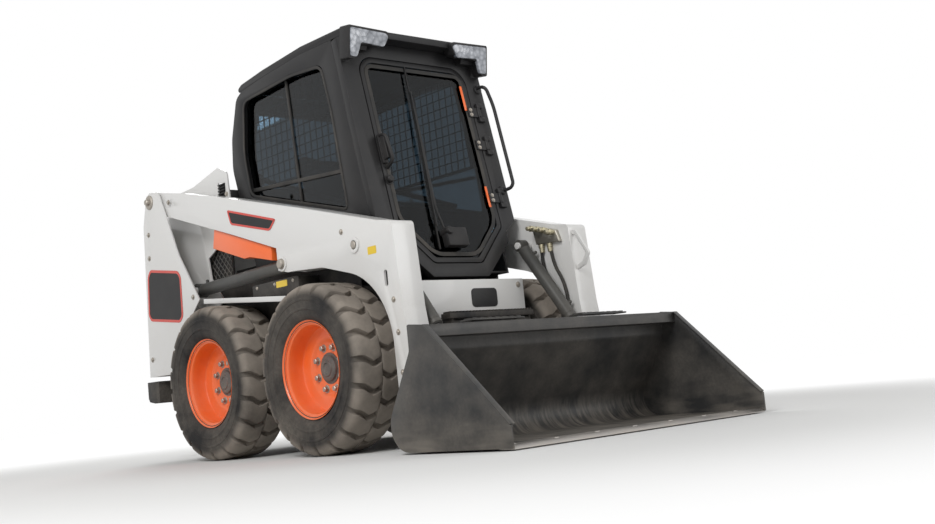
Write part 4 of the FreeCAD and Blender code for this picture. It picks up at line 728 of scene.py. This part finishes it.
def twin(piece):
    """The same piece on the other side of the machine."""
    copy = bpy.data.objects.new(piece.name, piece.data.copy())
    bpy.context.collection.objects.link(copy)
    copy.matrix_world = Matrix.Scale(-1, 4, (0, 1, 0)) @ piece.matrix_world
    pick(copy)
    bpy.ops.object.transform_apply(location=True, rotation=True, scale=True)
    bpy.ops.object.mode_set(mode="EDIT")
    bpy.ops.mesh.select_all(action="SELECT")
    bpy.ops.mesh.normals_make_consistent(inside=False)
    bpy.ops.object.mode_set(mode="OBJECT")
    return copy


def both_sides(piece, name, body, material):
    """The piece finished on the left, and its twin on the right."""
    finished(twin(piece), name + "_right", body, material)
    finished(piece, name + "_left", body, material)


side_seals = joined("side_window_rubber", [
    flat_plate("side_window_seal", SIDE_WINDOW, 0.006, 0.045, 0.014, 0.002, CAB_SIDE - 0.004),
    flat_plate("side_window_bar", WINDOW_BAR, 0.010, edge=0.002, side=CAB_SIDE - 0.032),
    flat_plate("side_window_sill", WINDOW_SILL, 0.010, edge=0.002, side=CAB_SIDE - 0.030),
])
both_sides(side_seals, "side_window_rubber", "chassis", SEAL)

# Cab door: its glass sits in a bonded rubber border. The leaf carries a wiper with its motor, a bent pull
# handle over a lock on the free side, and screws and two orange strips along its hinges.
CAB_FOOT = Vector((0.5045, 0, 0.760))
LEAN = math.radians(11.6)
# on the cab's front a piece's x runs to the machine's right, its z up the lean and its y outward
CAB_FRONT = Matrix.Translation(CAB_FOOT) @ Matrix.Rotation(-LEAN, 4, "Y") @ TURN_FORWARD
DOOR_OUTLINE = [(-0.335, 0.258), (-0.150, 0.072), (0.150, 0.072), (0.335, 0.258), (0.335, 1.114), (-0.335, 1.114)]
BORDER_OUTLINE = [(x * 0.93, 0.035 + z * 0.94) for x, z in DOOR_OUTLINE]
WIPER_ARM = [(0.060, 0.022, 0.215), (0.085, 0.020, 0.330), (0.066, 0.016, 0.860)]
WIPER_SPINE = [(0.098, 0.014, 0.250), (0.079, 0.018, 0.600), (0.061, 0.014, 0.950)]
WIPER_BLADE = [(0.100, 0.135), (0.108, 0.135), (0.062, 1.085), (0.055, 1.085)]
WIPER_CAP = [(0.0, 0.062), (0.016, 0.060), (0.020, 0.052), (0.020, 0.0)]
PULL = [(0.318, 0.000, 0.700), (0.318, 0.052, 0.690), (0.306, 0.056, 0.560), (0.306, 0.000, 0.540)]
LOCK = [(0.0, 0.022), (0.014, 0.021), (0.018, 0.016), (0.018, 0.0), (0.024, 0.0)]
HINGE_SCREW_HEIGHTS = (0.395, 0.421, 0.681, 0.707, 0.862, 0.888)
HINGE_STRIPS = ((0.360, 0.470), (0.885, 1.020))


def bent_rod(name, points, radius, corner):
    """A round rod through points, with its corners rounded."""
    piece = row_of_points(name, points)
    bpy.ops.mesh.select_all(action="SELECT")
    bpy.ops.mesh.bevel(offset=corner, segments=4, affect="VERTICES")
    bpy.ops.object.mode_set(mode="OBJECT")
    bpy.ops.object.convert(target="CURVE")
    piece = bpy.context.object
    piece.data.bevel_depth = radius
    piece.data.bevel_resolution = 4
    piece.data.use_fill_caps = True
    bpy.ops.object.convert(target="MESH")
    piece = bpy.context.object
    smooth(piece, 50)
    return piece


def block(name, low, high, edge):
    """A block between two corners with broken edges."""
    deselect()
    size = [b - a for a, b in zip(low, high)]
    middle = [(a + b) / 2 for a, b in zip(low, high)]
    bpy.ops.mesh.primitive_cube_add(size=1, location=middle, scale=size)
    piece = bpy.context.object
    bpy.ops.object.transform_apply(location=True, rotation=True, scale=True)
    piece.name = name
    if edge:
        soften(piece, edge)
        smooth(piece)
    return piece


def bolts(radius, height, spots, turn=TURN_LEFT):
    """Bolts of one size, each standing at its spot."""
    return [stand(hex_bolt(radius, height), at(*spot, turn)) for spot in spots]


border = stand(flat_plate("door_rubber", BORDER_OUTLINE, 0.004, 0.05, 0.020, 0.001, -0.002), CAB_FRONT)
finished(border, "door_glass_rubber", "cab_door", SEAL)
wiper = joined("door_wiper", [
    bent_rod("wiper_arm", WIPER_ARM, 0.006, 0.03),
    flat_plate("wiper_blade", WIPER_BLADE, 0.008, edge=0.001, side=0.001),
    bent_rod("wiper_spine", WIPER_SPINE, 0.004, 0.05),
    block("wiper_motor", (-0.055, 0.000, 0.140), (0.075, 0.048, 0.235), 0.010),
    stand(spun("wiper_cap", WIPER_CAP, 20), at(0.060, 0, 0.215)),
])
finished(stand(wiper, CAB_FRONT), "door_wiper", "cab_door", PLASTIC)
pull = joined("door_pull_set", [
    bent_rod("door_pull", PULL, 0.009, 0.02), stand(spun("door_lock", LOCK, 24), at(0.314, 0.004, 0.480)),
])
finished(stand(pull, CAB_FRONT), "door_pull_set", "cab_door", PLASTIC)
screws = joined("hinge_screws", bolts(0.007, 0.006, [(-0.318, 0.010, height) for height in HINGE_SCREW_HEIGHTS]))
finished(stand(screws, CAB_FRONT), "hinge_screws", "cab_door", BOLT_STEEL)
strips = joined("hinge_strips", [
    flat_plate("hinge_strip", [(-0.300, low), (-0.286, low), (-0.286, high), (-0.300, high)], 0.004, edge=0.001)
    for low, high in HINGE_STRIPS
])
finished(stand(strips, CAB_FRONT), "hinge_strips", "cab_door", ORANGE)

# Grab bar: one bent steel rod beside the door, welded to a round flange at each end. The operator holds
# on to it to climb in.
GRAB_ROUTE = [
    (-0.412, 0.000, 0.452), (-0.436, 0.058, 0.452), (-0.436, 0.058, 0.900), (-0.412, 0.058, 1.010),
    (-0.400, 0.0, 1.018),
]
GRAB_FOOT = [(0.0, 0.010), (0.018, 0.010), (0.024, 0.006), (0.024, 0.0)]
grab_parts = [bent_rod("grab_rod", GRAB_ROUTE, 0.009, 0.03)]
for height in (0.454, 1.012):
    grab_parts.append(stand(spun("grab_foot", GRAB_FOOT, 20), at(-0.410, 0, height)))
grab = finished(stand(joined("grab_rod", grab_parts), CAB_FRONT), "grab_rod", "chassis", CAB_BLACK)
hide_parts("grab_bar")
paint(["grab_bar"], CAB_BLACK)

# Work lamps: a clear moulded lens in a black plastic housing at each upper corner of the cab's front,
# wide above and narrow down the post
LAMP_FOOT = 1.822
LAMP_FACE = [
    (0.436, 0.000), (0.436, 0.146), (0.215, 0.140), (0.200, 0.126), (0.226, 0.074), (0.372, 0.071), (0.396, 0.000),
]
LAMP_MIDDLE = (0.318, 0.073)
LAMP_LEAN = at(0.330, 0, LAMP_FOOT) @ Matrix.Rotation(math.radians(8), 4, "Y") @ TURN_FORWARD
clear = bpy.data.materials.new("lamp_clear")
clear.use_nodes = True
clear_tree = clear.node_tree
clear_shader = clear_tree.nodes["Principled BSDF"]
clear_shader.inputs["Roughness"].default_value = 0.06
clear_shader.inputs["Coat Weight"].default_value = 0.8
lamp_place = node(clear_tree, "TexCoord")
facets = node(clear_tree, "TexVoronoi", {"Scale": 42})
facet_tone = node(clear_tree, "Mix", data_type="RGBA")
facet_tone.inputs["A"].default_value = (0.46, 0.48, 0.52, 1)
facet_tone.inputs["B"].default_value = (0.10, 0.11, 0.13, 1)
facet_bump = node(clear_tree, "Bump", {"Strength": 0.7, "Distance": 0.004})
wire(
    clear_tree,
    (lamp_place.outputs["Object"], facets.inputs["Vector"]),
    (facets.outputs["Distance"], facet_tone.inputs["Factor"]),
    (facet_tone.outputs["Result"], clear_shader.inputs["Base Color"]),
    (facets.outputs["Distance"], facet_bump.inputs["Height"]),
    (facet_bump.outputs[0], clear_shader.inputs["Normal"]),
)
paint(["work_lamps"], PLASTIC)
for part, rise, depth, grow, edge, finish, slot in (
    ("lamp_lenses", 0.006, 0.022, -0.005, 0.006, clear, "lamp_lens"),
    ("lamp_housings", -0.046, 0.069, 0.006, 0.002, PLASTIC, "black_plastic"),
):
    face = [
        (y + (grow if y > LAMP_MIDDLE[0] else -grow), z + (grow if z > LAMP_MIDDLE[1] else -grow))
        for y, z in LAMP_FACE
    ]
    lamp = stand(flat_plate(part, face, depth, 0.010, 0, edge, rise), LAMP_LEAN)
    finished(joined(part, [twin(lamp), lamp]), part, "chassis", finish)

# Lift arms: welded box beams painted white. Each carries a bare dark plate with a red border, a blank
# yellow plate, bolts and a cap on each pin; a dark plate of painted shade lies at the bottom of its slot.
ARM_SIDE = 0.606
THIN_PLATE = 0.0012
ARM_BADGE = [(-0.5505, 1.249), (-0.1135, 1.129), (-0.1735, 1.080), (-0.5235, 1.168)]
ARM_PLATE = [(0.580, 0.852), (0.640, 0.852), (0.640, 0.886), (0.580, 0.886)]
SLOT_SHADE = [(0.6779, 0.7014), (0.7011, 0.7014), (0.7011, 0.7726), (0.6779, 0.7726)]
TILT_PIN_END = [(0.0, 0.012), (0.012, 0.012), (0.017, 0.009), (0.017, -0.004)]
LIFT_PIN_END = [(0.0, 0.016), (0.018, 0.016), (0.022, 0.013), (0.026, 0.0)]
ARM_BOLTS = [(0.745, 0.330), (0.800, 0.250), (-0.5409, 1.330), (0.3983, 0.9824), (0.740, 0.500), (0.728, 0.640)]
BADGE_RED = weathered("badge_red", (0.60, 0.035, 0.018), 0.4, 0.15, 1.5, 200, 0.03, coat=0.3)
BADGE_BLACK = weathered("badge_black", (0.010, 0.010, 0.011), 0.45, 0.06, 1.5, 200, 0.03, specular=0.25)
PLATE_YELLOW = weathered("plate_yellow", (0.75, 0.52, 0.03), 0.45, 0.25, 1.5, 200, 0.03)


def badge(name, outline, side, body, border):
    """A bare dark plate with a red border, on both outer sides."""
    field = flat_plate(name, outline, THIN_PLATE, 0.016, side=side)
    both_sides(field, name + "_field", body, BADGE_BLACK)
    ring = flat_plate(name + "_border", outline, 0.0020, 0.016, border, side=side)
    both_sides(ring, name + "_border", body, BADGE_RED)


badge("arm_badge", ARM_BADGE, ARM_SIDE, "lift_arms", 0.010)
yellow = flat_plate("arm_blank_plates", ARM_PLATE, THIN_PLATE, 0.004, side=ARM_SIDE)
both_sides(yellow, "arm_blank_plate", "lift_arms", PLATE_YELLOW)
arm_bolts = joined("arm_bolts", [
    stand(spun("tilt_pin_end", TILT_PIN_END, 28), at(0.4895, ARM_SIDE, 0.910)),
    stand(spun("lift_pin_end", LIFT_PIN_END, 28), at(-0.0855, ARM_SIDE + 0.008, 0.907)),
] + bolts(0.009, 0.007, [(x, ARM_SIDE, z) for x, z in ARM_BOLTS]))
# painted shade: a dark plate deep in each arm's blind slot stands in for the shade inside it
shade = flat_plate("arm_slot_shade", SLOT_SHADE, 0.003, 0.0115, side=ARM_SIDE - 0.014)
both_sides(shade, "arm_slot_shade", "lift_arms", FRAME_BLACK)
both_sides(arm_bolts, "arm_bolts", "lift_arms", BOLT_STEEL)

# Tail uprights: folded white plate. Each has a bare dark plate with a red border, a large cap over the
# lift arm's pivot pin, bolts, and a louvred plastic insert in the window of its peak.
UPRIGHT_SIDE = 0.620
TAIL_BADGE = [
    (-1.4135, 1.020), (-1.380, 1.056), (-1.0735, 1.010), (-1.0435, 0.975), (-1.0480, 0.762), (-1.083, 0.732),
    (-1.4055, 0.772), (-1.4325, 0.805),
]
PIVOT_CAP = [
    (0.0, 0.026), (0.014, 0.026), (0.017, 0.022), (0.019, 0.010), (0.034, 0.009), (0.040, 0.004), (0.040, 0.0),
]
UPRIGHT_BOLTS = [(-1.370, 1.250), (-1.120, 1.390), (-1.425, 0.560), (-1.180, 0.560), (-1.380, 1.120), (-0.930, 0.850)]
LOUVRES, LOUVRE_STEP = 5, 0.016
badge("tail_badge", TAIL_BADGE, UPRIGHT_SIDE, "chassis", 0.014)
pivot_cap = stand(spun("pivot_cap", PIVOT_CAP, 36), at(-1.3335, UPRIGHT_SIDE, 1.427))
upright_bolts = bolts(0.010, 0.008, [(x, UPRIGHT_SIDE, z) for x, z in UPRIGHT_BOLTS])
both_sides(joined("upright_bolts", [pivot_cap] + upright_bolts), "upright_bolts", "chassis", BOLT_STEEL)
louvres = []
for step in range(LOUVRES):
    height = 1.366 + step * LOUVRE_STEP
    louvres.append(block("louvre", (-0.836, 0.470, height), (-0.762, 0.480, height + 0.006), 0.001))
louvres.append(block("louvre_back", (-0.836, 0.466, 1.360), (-0.762, 0.469, 1.440), 0))
both_sides(joined("peak_louvres", louvres), "peak_louvres", "chassis", PLASTIC)

# Side covers: pressed steel under the lift cylinders, each held by a row of three bolts, with a blank
# yellow plate between two of them
COVER_SIDE = 0.5603
COVER_BOLTS = [(-0.40, COVER_SIDE, 0.828), (-0.24, COVER_SIDE, 0.828), (-0.08, COVER_SIDE, 0.828)]
COVER_PLATE = [(-0.225, 0.808), (-0.130, 0.808), (-0.130, 0.838), (-0.225, 0.838)]
cover_bolts = joined("cover_bolts", bolts(0.006, 0.005, COVER_BOLTS))
both_sides(cover_bolts, "cover_bolts", "chassis", BOLT_STEEL)
cover_plate = flat_plate("cover_plate", COVER_PLATE, THIN_PLATE, 0.004, side=COVER_SIDE)
both_sides(cover_plate, "cover_blank_plate", "chassis", PLATE_YELLOW)

# Front panel: white plate across the frame under the cab door, with a bare rounded dark plate beside its
# middle and two bolts at each end
PANEL_FACE = at(0.5135, 0, 0, TURN_FORWARD)
EMBLEM_PLACE = [(-0.200, 0.612), (-0.035, 0.612), (-0.035, 0.702), (-0.200, 0.702)]
PANEL_BOLTS = [(-0.350, 0, 0.560), (-0.350, 0, 0.715), (0.350, 0, 0.560), (0.350, 0, 0.715)]
emblem = stand(flat_plate("emblem_place", EMBLEM_PLACE, 0.003, 0.020, 0, 0.001), PANEL_FACE)
finished(emblem, "emblem_place", "chassis", BADGE_BLACK)
panel_bolts = stand(joined("panel_bolts", bolts(0.010, 0.007, PANEL_BOLTS)), PANEL_FACE)
finished(panel_bolts, "panel_bolts", "chassis", BOLT_STEEL)

# Front step: a serrated tread of short steel teeth, welded across the step's bar so that boots don't
# slip
STEP_TEETH, TOOTH_STEP = 26, 0.020
teeth = []
for number in range(STEP_TEETH):
    y = -0.250 + number * TOOTH_STEP
    teeth.append(block("tooth", (0.630, y - 0.003, 0.576), (0.683, y + 0.003, 0.584), 0.001))
finished(joined("step_teeth", teeth), "step_teeth", "chassis", FRAME_BLACK)

# Cylinders: grey steel tubes with a gland nut screwed into each barrel's mouth, and two hose ports welded
# on each barrel
PORT_FROM_BASE, PORT_FROM_MOUTH = 0.070, 0.060


def gland_place(y, base, eye, distance):
    """A place on a cylinder's line, with +Y along it towards the eye."""
    line = Vector((eye[0] - base[0], 0, eye[1] - base[1])).normalized()
    spot = Vector((base[0], y, base[1])) + line * distance
    turn = Vector((0, 1, 0)).rotation_difference(line).to_matrix().to_4x4()
    return Matrix.Translation(spot) @ turn


for kind, body, y, base, eye, radius, rod, reach in (
    ("lift", "lift_cylinder_barrels", 0.5445, (-0.9725, 0.888), (-0.0855, 0.907), 0.033, 0.020, 0.8272),
    ("tilt", "tilt_cylinder_barrels", 0.425, (0.4895, 0.910), (0.8475, 0.424), 0.031, 0.017, 0.4636),
):
    gland = spun(kind + "_gland", [
        (rod + 0.0015, 0.000), (rod + 0.0015, 0.022), (rod + 0.006, 0.024), (radius - 0.003, 0.024),
        (radius + 0.001, 0.021), (radius + 0.001, 0.003), (radius - 0.001, 0.000),
    ], 32)
    gland_parts = [stand(gland, gland_place(y, base, eye, reach))]
    for distance in (PORT_FROM_BASE, reach - PORT_FROM_MOUTH):
        port = spun("port", [
            (0.0, radius + 0.016), (0.006, radius + 0.016), (0.008, radius + 0.013), (0.008, radius - 0.006),
        ], 12)
        gland_parts.append(stand(port, gland_place(y, base, eye, distance) @ TURN_BACK @ TURN_UP))
    both_sides(joined(kind + "_glands", gland_parts), kind + "_glands", body, CYLINDER_GREY)

# Bucket: two toothed step plates on its top bar, a steel wear bar welded along the slanted front edge of
# each side, and countersunk bolts on its cutting edge.
BUCKET_SIDE = 0.7875
STEP_MIDDLE, STEP_HALF = 0.330, 0.150
STEP_BLOCKS, STEP_BLOCK_STEP = 7, 0.042
WEAR_BAR = [(1.5480, 0.0940), (1.1150, 0.4975), (1.1184, 0.5012), (1.5514, 0.0977)]
EDGE_BOLTS, EDGE_BOLT_STEP = 7, 0.230
PLOUGH_BOLT = [(0.0, 0.003), (0.010, 0.003), (0.013, 0.0)]
step_parts = []
for y in (-STEP_MIDDLE, STEP_MIDDLE):
    step_parts.append(block("bucket_step", (0.992, y - STEP_HALF, 0.5095), (1.072, y + STEP_HALF, 0.517), 0.002))
    for number in range(STEP_BLOCKS):
        middle = y - 0.126 + number * STEP_BLOCK_STEP
        step_parts.append(block("bucket_tooth", (1.002, middle - 0.012, 0.517), (1.062, middle + 0.012, 0.522), 0.002))
finished(joined("bucket_steps", step_parts), "bucket_steps", "bucket", BUCKET_BLACK)
wear_bar = flat_plate("wear_bar", WEAR_BAR, 0.030, edge=0.001, side=BUCKET_SIDE - 0.028)
both_sides(wear_bar, "bucket_wear_bar", "bucket", BUCKET_BLACK)
edge_bolts = []
for number in range(EDGE_BOLTS):
    place = at(1.455, -0.690 + number * EDGE_BOLT_STEP, 0.018, TURN_UP)
    edge_bolts.append(stand(spun("plough_bolt", PLOUGH_BOLT, 20), place))
finished(joined("edge_bolts", edge_bolts), "edge_bolts", "bucket", WORN_STEEL)

# Coupler: four plated hydraulic couplings stand in the block on the left arm's inner side, and a bent
# steel lever locks each side of the bucket carrier.
COUPLING = [
    (0.0, 0.058), (0.009, 0.058), (0.011, 0.054), (0.011, 0.034), (0.015, 0.032), (0.015, 0.018), (0.012, 0.014),
    (0.012, 0.0),
]
COUPLING_SPOTS = [(0.560, 0.460, 0.985), (0.600, 0.460, 0.975), (0.640, 0.460, 0.965), (0.680, 0.460, 0.950)]
LEVER_ROUTE = [(0.838, 0.300, 0.392), (0.820, 0.300, 0.428), (0.826, 0.245, 0.438)]
HOSE_FITTING = weathered("hose_fitting", (0.42, 0.38, 0.26), 0.38, 0.35, 1.5, 100, 0.08, metallic=0.9)
couplings = [stand(spun("coupling", COUPLING, 18), at(*spot, TURN_RIGHT)) for spot in COUPLING_SPOTS]
finished(joined("coupler_fittings", couplings), "coupler_fittings", "lift_arms", HOSE_FITTING)
levers = joined("coupler_levers", [
    bent_rod("coupler_lever", [(x, y * side, z) for x, y, z in LEVER_ROUTE], 0.009, 0.012) for side in (1, -1)
])
finished(levers, "coupler_levers", "bucket", FRAME_BLACK)

# Hoses: two rubber hydraulic hoses hang from the coupler block down to the arms' cross tube, inside the
# left arm, with a crimped steel ferrule at each end.
HOSE_RADIUS = 0.008
FERRULE_REACH = 0.044
HOSE_ROUTES = {
    1: [(0.640, 0.470, 0.9025), (0.648, 0.470, 0.800), (0.715, 0.470, 0.700), (0.735, 0.470, 0.500),
        (0.686, 0.470, 0.470), (0.680, 0.470, 0.398)],
    2: [(0.585, 0.470, 0.9045), (0.570, 0.470, 0.800), (0.640, 0.470, 0.700), (0.690, 0.470, 0.560),
        (0.655, 0.470, 0.480), (0.655, 0.470, 0.397)],
}
FERRULE = [(0.0085, 0.0), (0.012, 0.002), (0.0125, 0.020), (0.012, 0.022), (0.014, 0.024), (0.014, 0.042)]
HOSE_RUBBER = weathered("hose_rubber", (0.014, 0.014, 0.014), 0.65, 0.25, 1.5, 260, 0.15, specular=0.3)
for number, route in HOSE_ROUTES.items():
    line = bpy.data.curves.new("hose_%d" % number, "CURVE")
    line.dimensions = "3D"
    spline = line.splines.new("NURBS")
    spline.points.add(len(route) - 1)
    for point, spot in zip(spline.points, route):
        point.co = spot + (1,)
    spline.order_u = 3
    spline.use_endpoint_u = True
    line.bevel_depth = HOSE_RADIUS
    line.bevel_resolution = 4
    hose = bpy.data.objects.new("hose_%d" % number, line)
    bpy.context.collection.objects.link(hose)
    hose.data.materials.append(HOSE_RUBBER)
    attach(hose, "lift_arms")
    ends = [(route[0][0], route[0][1], route[0][2] - FERRULE_REACH), route[-1]]
    ferrules = joined("ferrules", [stand(spun("ferrule", FERRULE, 18), at(*end, TURN_UP)) for end in ends])
    finished(ferrules, "hose_ferrules_%d" % number, "lift_arms", HOSE_FITTING)

# Grilles: a steel wire mesh in a diamond pattern over the plate on each side of the engine bay, cut to
# the plate's outline
GRILLE_OUTLINE = [(-1.098, 0.925), (-0.806, 0.925), (-0.806, 1.050), (-0.846, 1.106), (-1.098, 1.154)]
GRILLE_SIDE = 0.4405
GRILLE_CELLS = 20
WIRE_THICKNESS = 0.006
GRILLE_STEEL = weathered("grille_steel", (0.10, 0.098, 0.092), 0.5, 0.55, 1.6, 120, 0.1, specular=0.3)
deselect()
bpy.ops.mesh.primitive_grid_add(
    x_subdivisions=GRILLE_CELLS, y_subdivisions=GRILLE_CELLS, size=0.56, location=(-0.95, 0, 1.04)
)
grille = bpy.context.object
grille.rotation_euler = (math.pi / 2, math.radians(45), 0)
bpy.ops.object.transform_apply(location=True, rotation=True, scale=True)
bpy.ops.object.mode_set(mode="EDIT")
for start, end in zip(GRILLE_OUTLINE, GRILLE_OUTLINE[1:] + GRILLE_OUTLINE[:1]):
    bpy.ops.mesh.select_all(action="SELECT")
    outward = (end[1] - start[1], 0, start[0] - end[0])
    bpy.ops.mesh.bisect(plane_co=(start[0], 0, start[1]), plane_no=outward, clear_outer=True)
bpy.ops.object.mode_set(mode="OBJECT")
wires = grille.modifiers.new("wires", "WIREFRAME")
wires.thickness = WIRE_THICKNESS
bpy.ops.object.modifier_apply(modifier="wires")
both_sides(stand(grille, at(0, GRILLE_SIDE, 0)), "grille_mesh", "chassis", GRILLE_STEEL)

# Roof seal: a strip of black rubber, pressed in for the cab's full width, that closes the joint between
# the rear wall and the roof
roof_seal = block("roof_seal", (-0.648, -0.409, 1.857), (-0.622, 0.409, 1.893), 0.004)
finished(roof_seal, "roof_seal", "chassis", SEAL)

# Seat: a vinyl cushion and back over foam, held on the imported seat's place. Each starts as a block and is
# blown up a little as cloth, so that its faces swell.
VINYL = weathered("seat_vinyl", (0.020, 0.020, 0.022), 0.55, 0.12, 2.5, 240, 0.25)
FOAM_EDGE = 0.020
VOXEL = 0.006
PRESSURE = 4
FILLING_FRAMES = 20
SWELL_LIMIT = 0.012


def cushion(name, low, high):
    """A padded block: remeshed fine, filled as cloth, and kept within the limit of its swelling."""
    pad = block(name, low, high, FOAM_EDGE)
    pick(pad)
    pad.data.remesh_voxel_size = VOXEL
    bpy.ops.object.voxel_remesh()
    cloth = pad.modifiers.new("filling", "CLOTH")
    cloth.settings.use_pressure = True
    cloth.settings.uniform_pressure_force = PRESSURE
    cloth.settings.effector_weights.gravity = 0
    bpy.context.scene.frame_start = 1
    bpy.context.scene.frame_end = FILLING_FRAMES
    cloth.point_cache.frame_end = FILLING_FRAMES
    for number in range(1, FILLING_FRAMES + 1):
        bpy.context.scene.frame_set(number)
    bpy.ops.object.modifier_apply(modifier="filling")
    bpy.context.scene.frame_set(1)
    for vertex in pad.data.vertices:
        for axis in range(3):
            reach = max(low[axis] - SWELL_LIMIT, vertex.co[axis])
            vertex.co[axis] = min(high[axis] + SWELL_LIMIT, reach)
    smooth(pad, 60)
    return pad


base_pad = cushion("seat_base_pad", (-0.370, -0.225, 0.940), (0.040, 0.225, 1.050))
finished(base_pad, "seat_base_pad", "chassis", VINYL)
back_pad = cushion("seat_back_pad", (-0.035, -0.215, 0.0), (0.035, 0.215, 0.560))
stand(back_pad, at(-0.372, 0, 0.975) @ Matrix.Rotation(math.radians(-8), 4, "Y"))
finished(back_pad, "seat_back_pad", "chassis", VINYL)
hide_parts("seat")
paint(["seat"], VINYL)

# Lever grips: a moulded plastic knob pushed on each control lever, and a folded rubber boot at its foot
# that keeps the dust out
GRIP = [(0.0, 0.098), (0.012, 0.096), (0.019, 0.086), (0.020, 0.060), (0.017, 0.030), (0.019, 0.010), (0.016, 0.0)]
BOOT = [(0.016, 0.046), (0.022, 0.038), (0.018, 0.030), (0.030, 0.020), (0.026, 0.012), (0.040, 0.0)]
LEVER_X, LEVER_Y = 0.008, 0.285
grips = []
for y in (LEVER_Y, -LEVER_Y):
    grips.append(stand(spun("grip", GRIP, 24), at(LEVER_X, y, 1.150, TURN_UP)))
    grips.append(stand(spun("boot", BOOT, 24), at(LEVER_X, y, 1.089, TURN_UP)))
finished(joined("lever_grips", grips), "lever_grips", "chassis", PLASTIC)

# Tailgate: a louvred field and a latch of black plastic, and two red lamps, all on its outer face
GATE_FACE = -1.5535
GATE_LOUVRES, GATE_LOUVRE_STEP = 9, 0.040
RED_LENS = weathered("tail_lens", (0.50, 0.02, 0.015), 0.15, 0.10, 2.5, 200, 0.03, coat=0.6)
gate_parts = []
for number in range(GATE_LOUVRES):
    height = 0.760 + number * GATE_LOUVRE_STEP
    gate_parts.append(block("gate_louvre", (GATE_FACE, -0.300, height), (-1.5500, 0.300, height + 0.022), 0.001))
gate_parts.append(block("gate_latch", (GATE_FACE, 0.370, 0.880), (-1.549, 0.430, 0.980), 0.002))
finished(joined("gate_louvres", gate_parts), "gate_louvres", "tailgate_body", PLASTIC)
tail_lamps = joined("tail_lamps", [
    block("tail_lamp", (GATE_FACE, y - 0.035, 1.060), (-1.549, y + 0.035, 1.130), 0.002) for y in (-0.400, 0.400)
])
finished(tail_lamps, "tail_lamps", "tailgate_body", RED_LENS)

# Bumper and belly: a screw at each end of the rear bumper's face, and bolts that hold the plates under
# the frame
BUMPER_SCREWS = [(-1.5445, -0.5, 0.395), (-1.5445, 0.5, 0.395)]
BELLY_BOLTS = [(x, y, 0.185) for x in (-1.05, -0.75, -0.45, -0.15) for y in (-0.30, 0.30)]
bumper_screws = joined("bumper_screws", bolts(0.010, 0.006, BUMPER_SCREWS, TURN_BACK))
finished(bumper_screws, "bumper_screws", "chassis", BOLT_STEEL)
belly_bolts = joined("belly_bolts", bolts(0.010, 0.006, BELLY_BOLTS, TURN_DOWN))
finished(belly_bolts, "belly_bolts", "chassis", BOLT_STEEL)
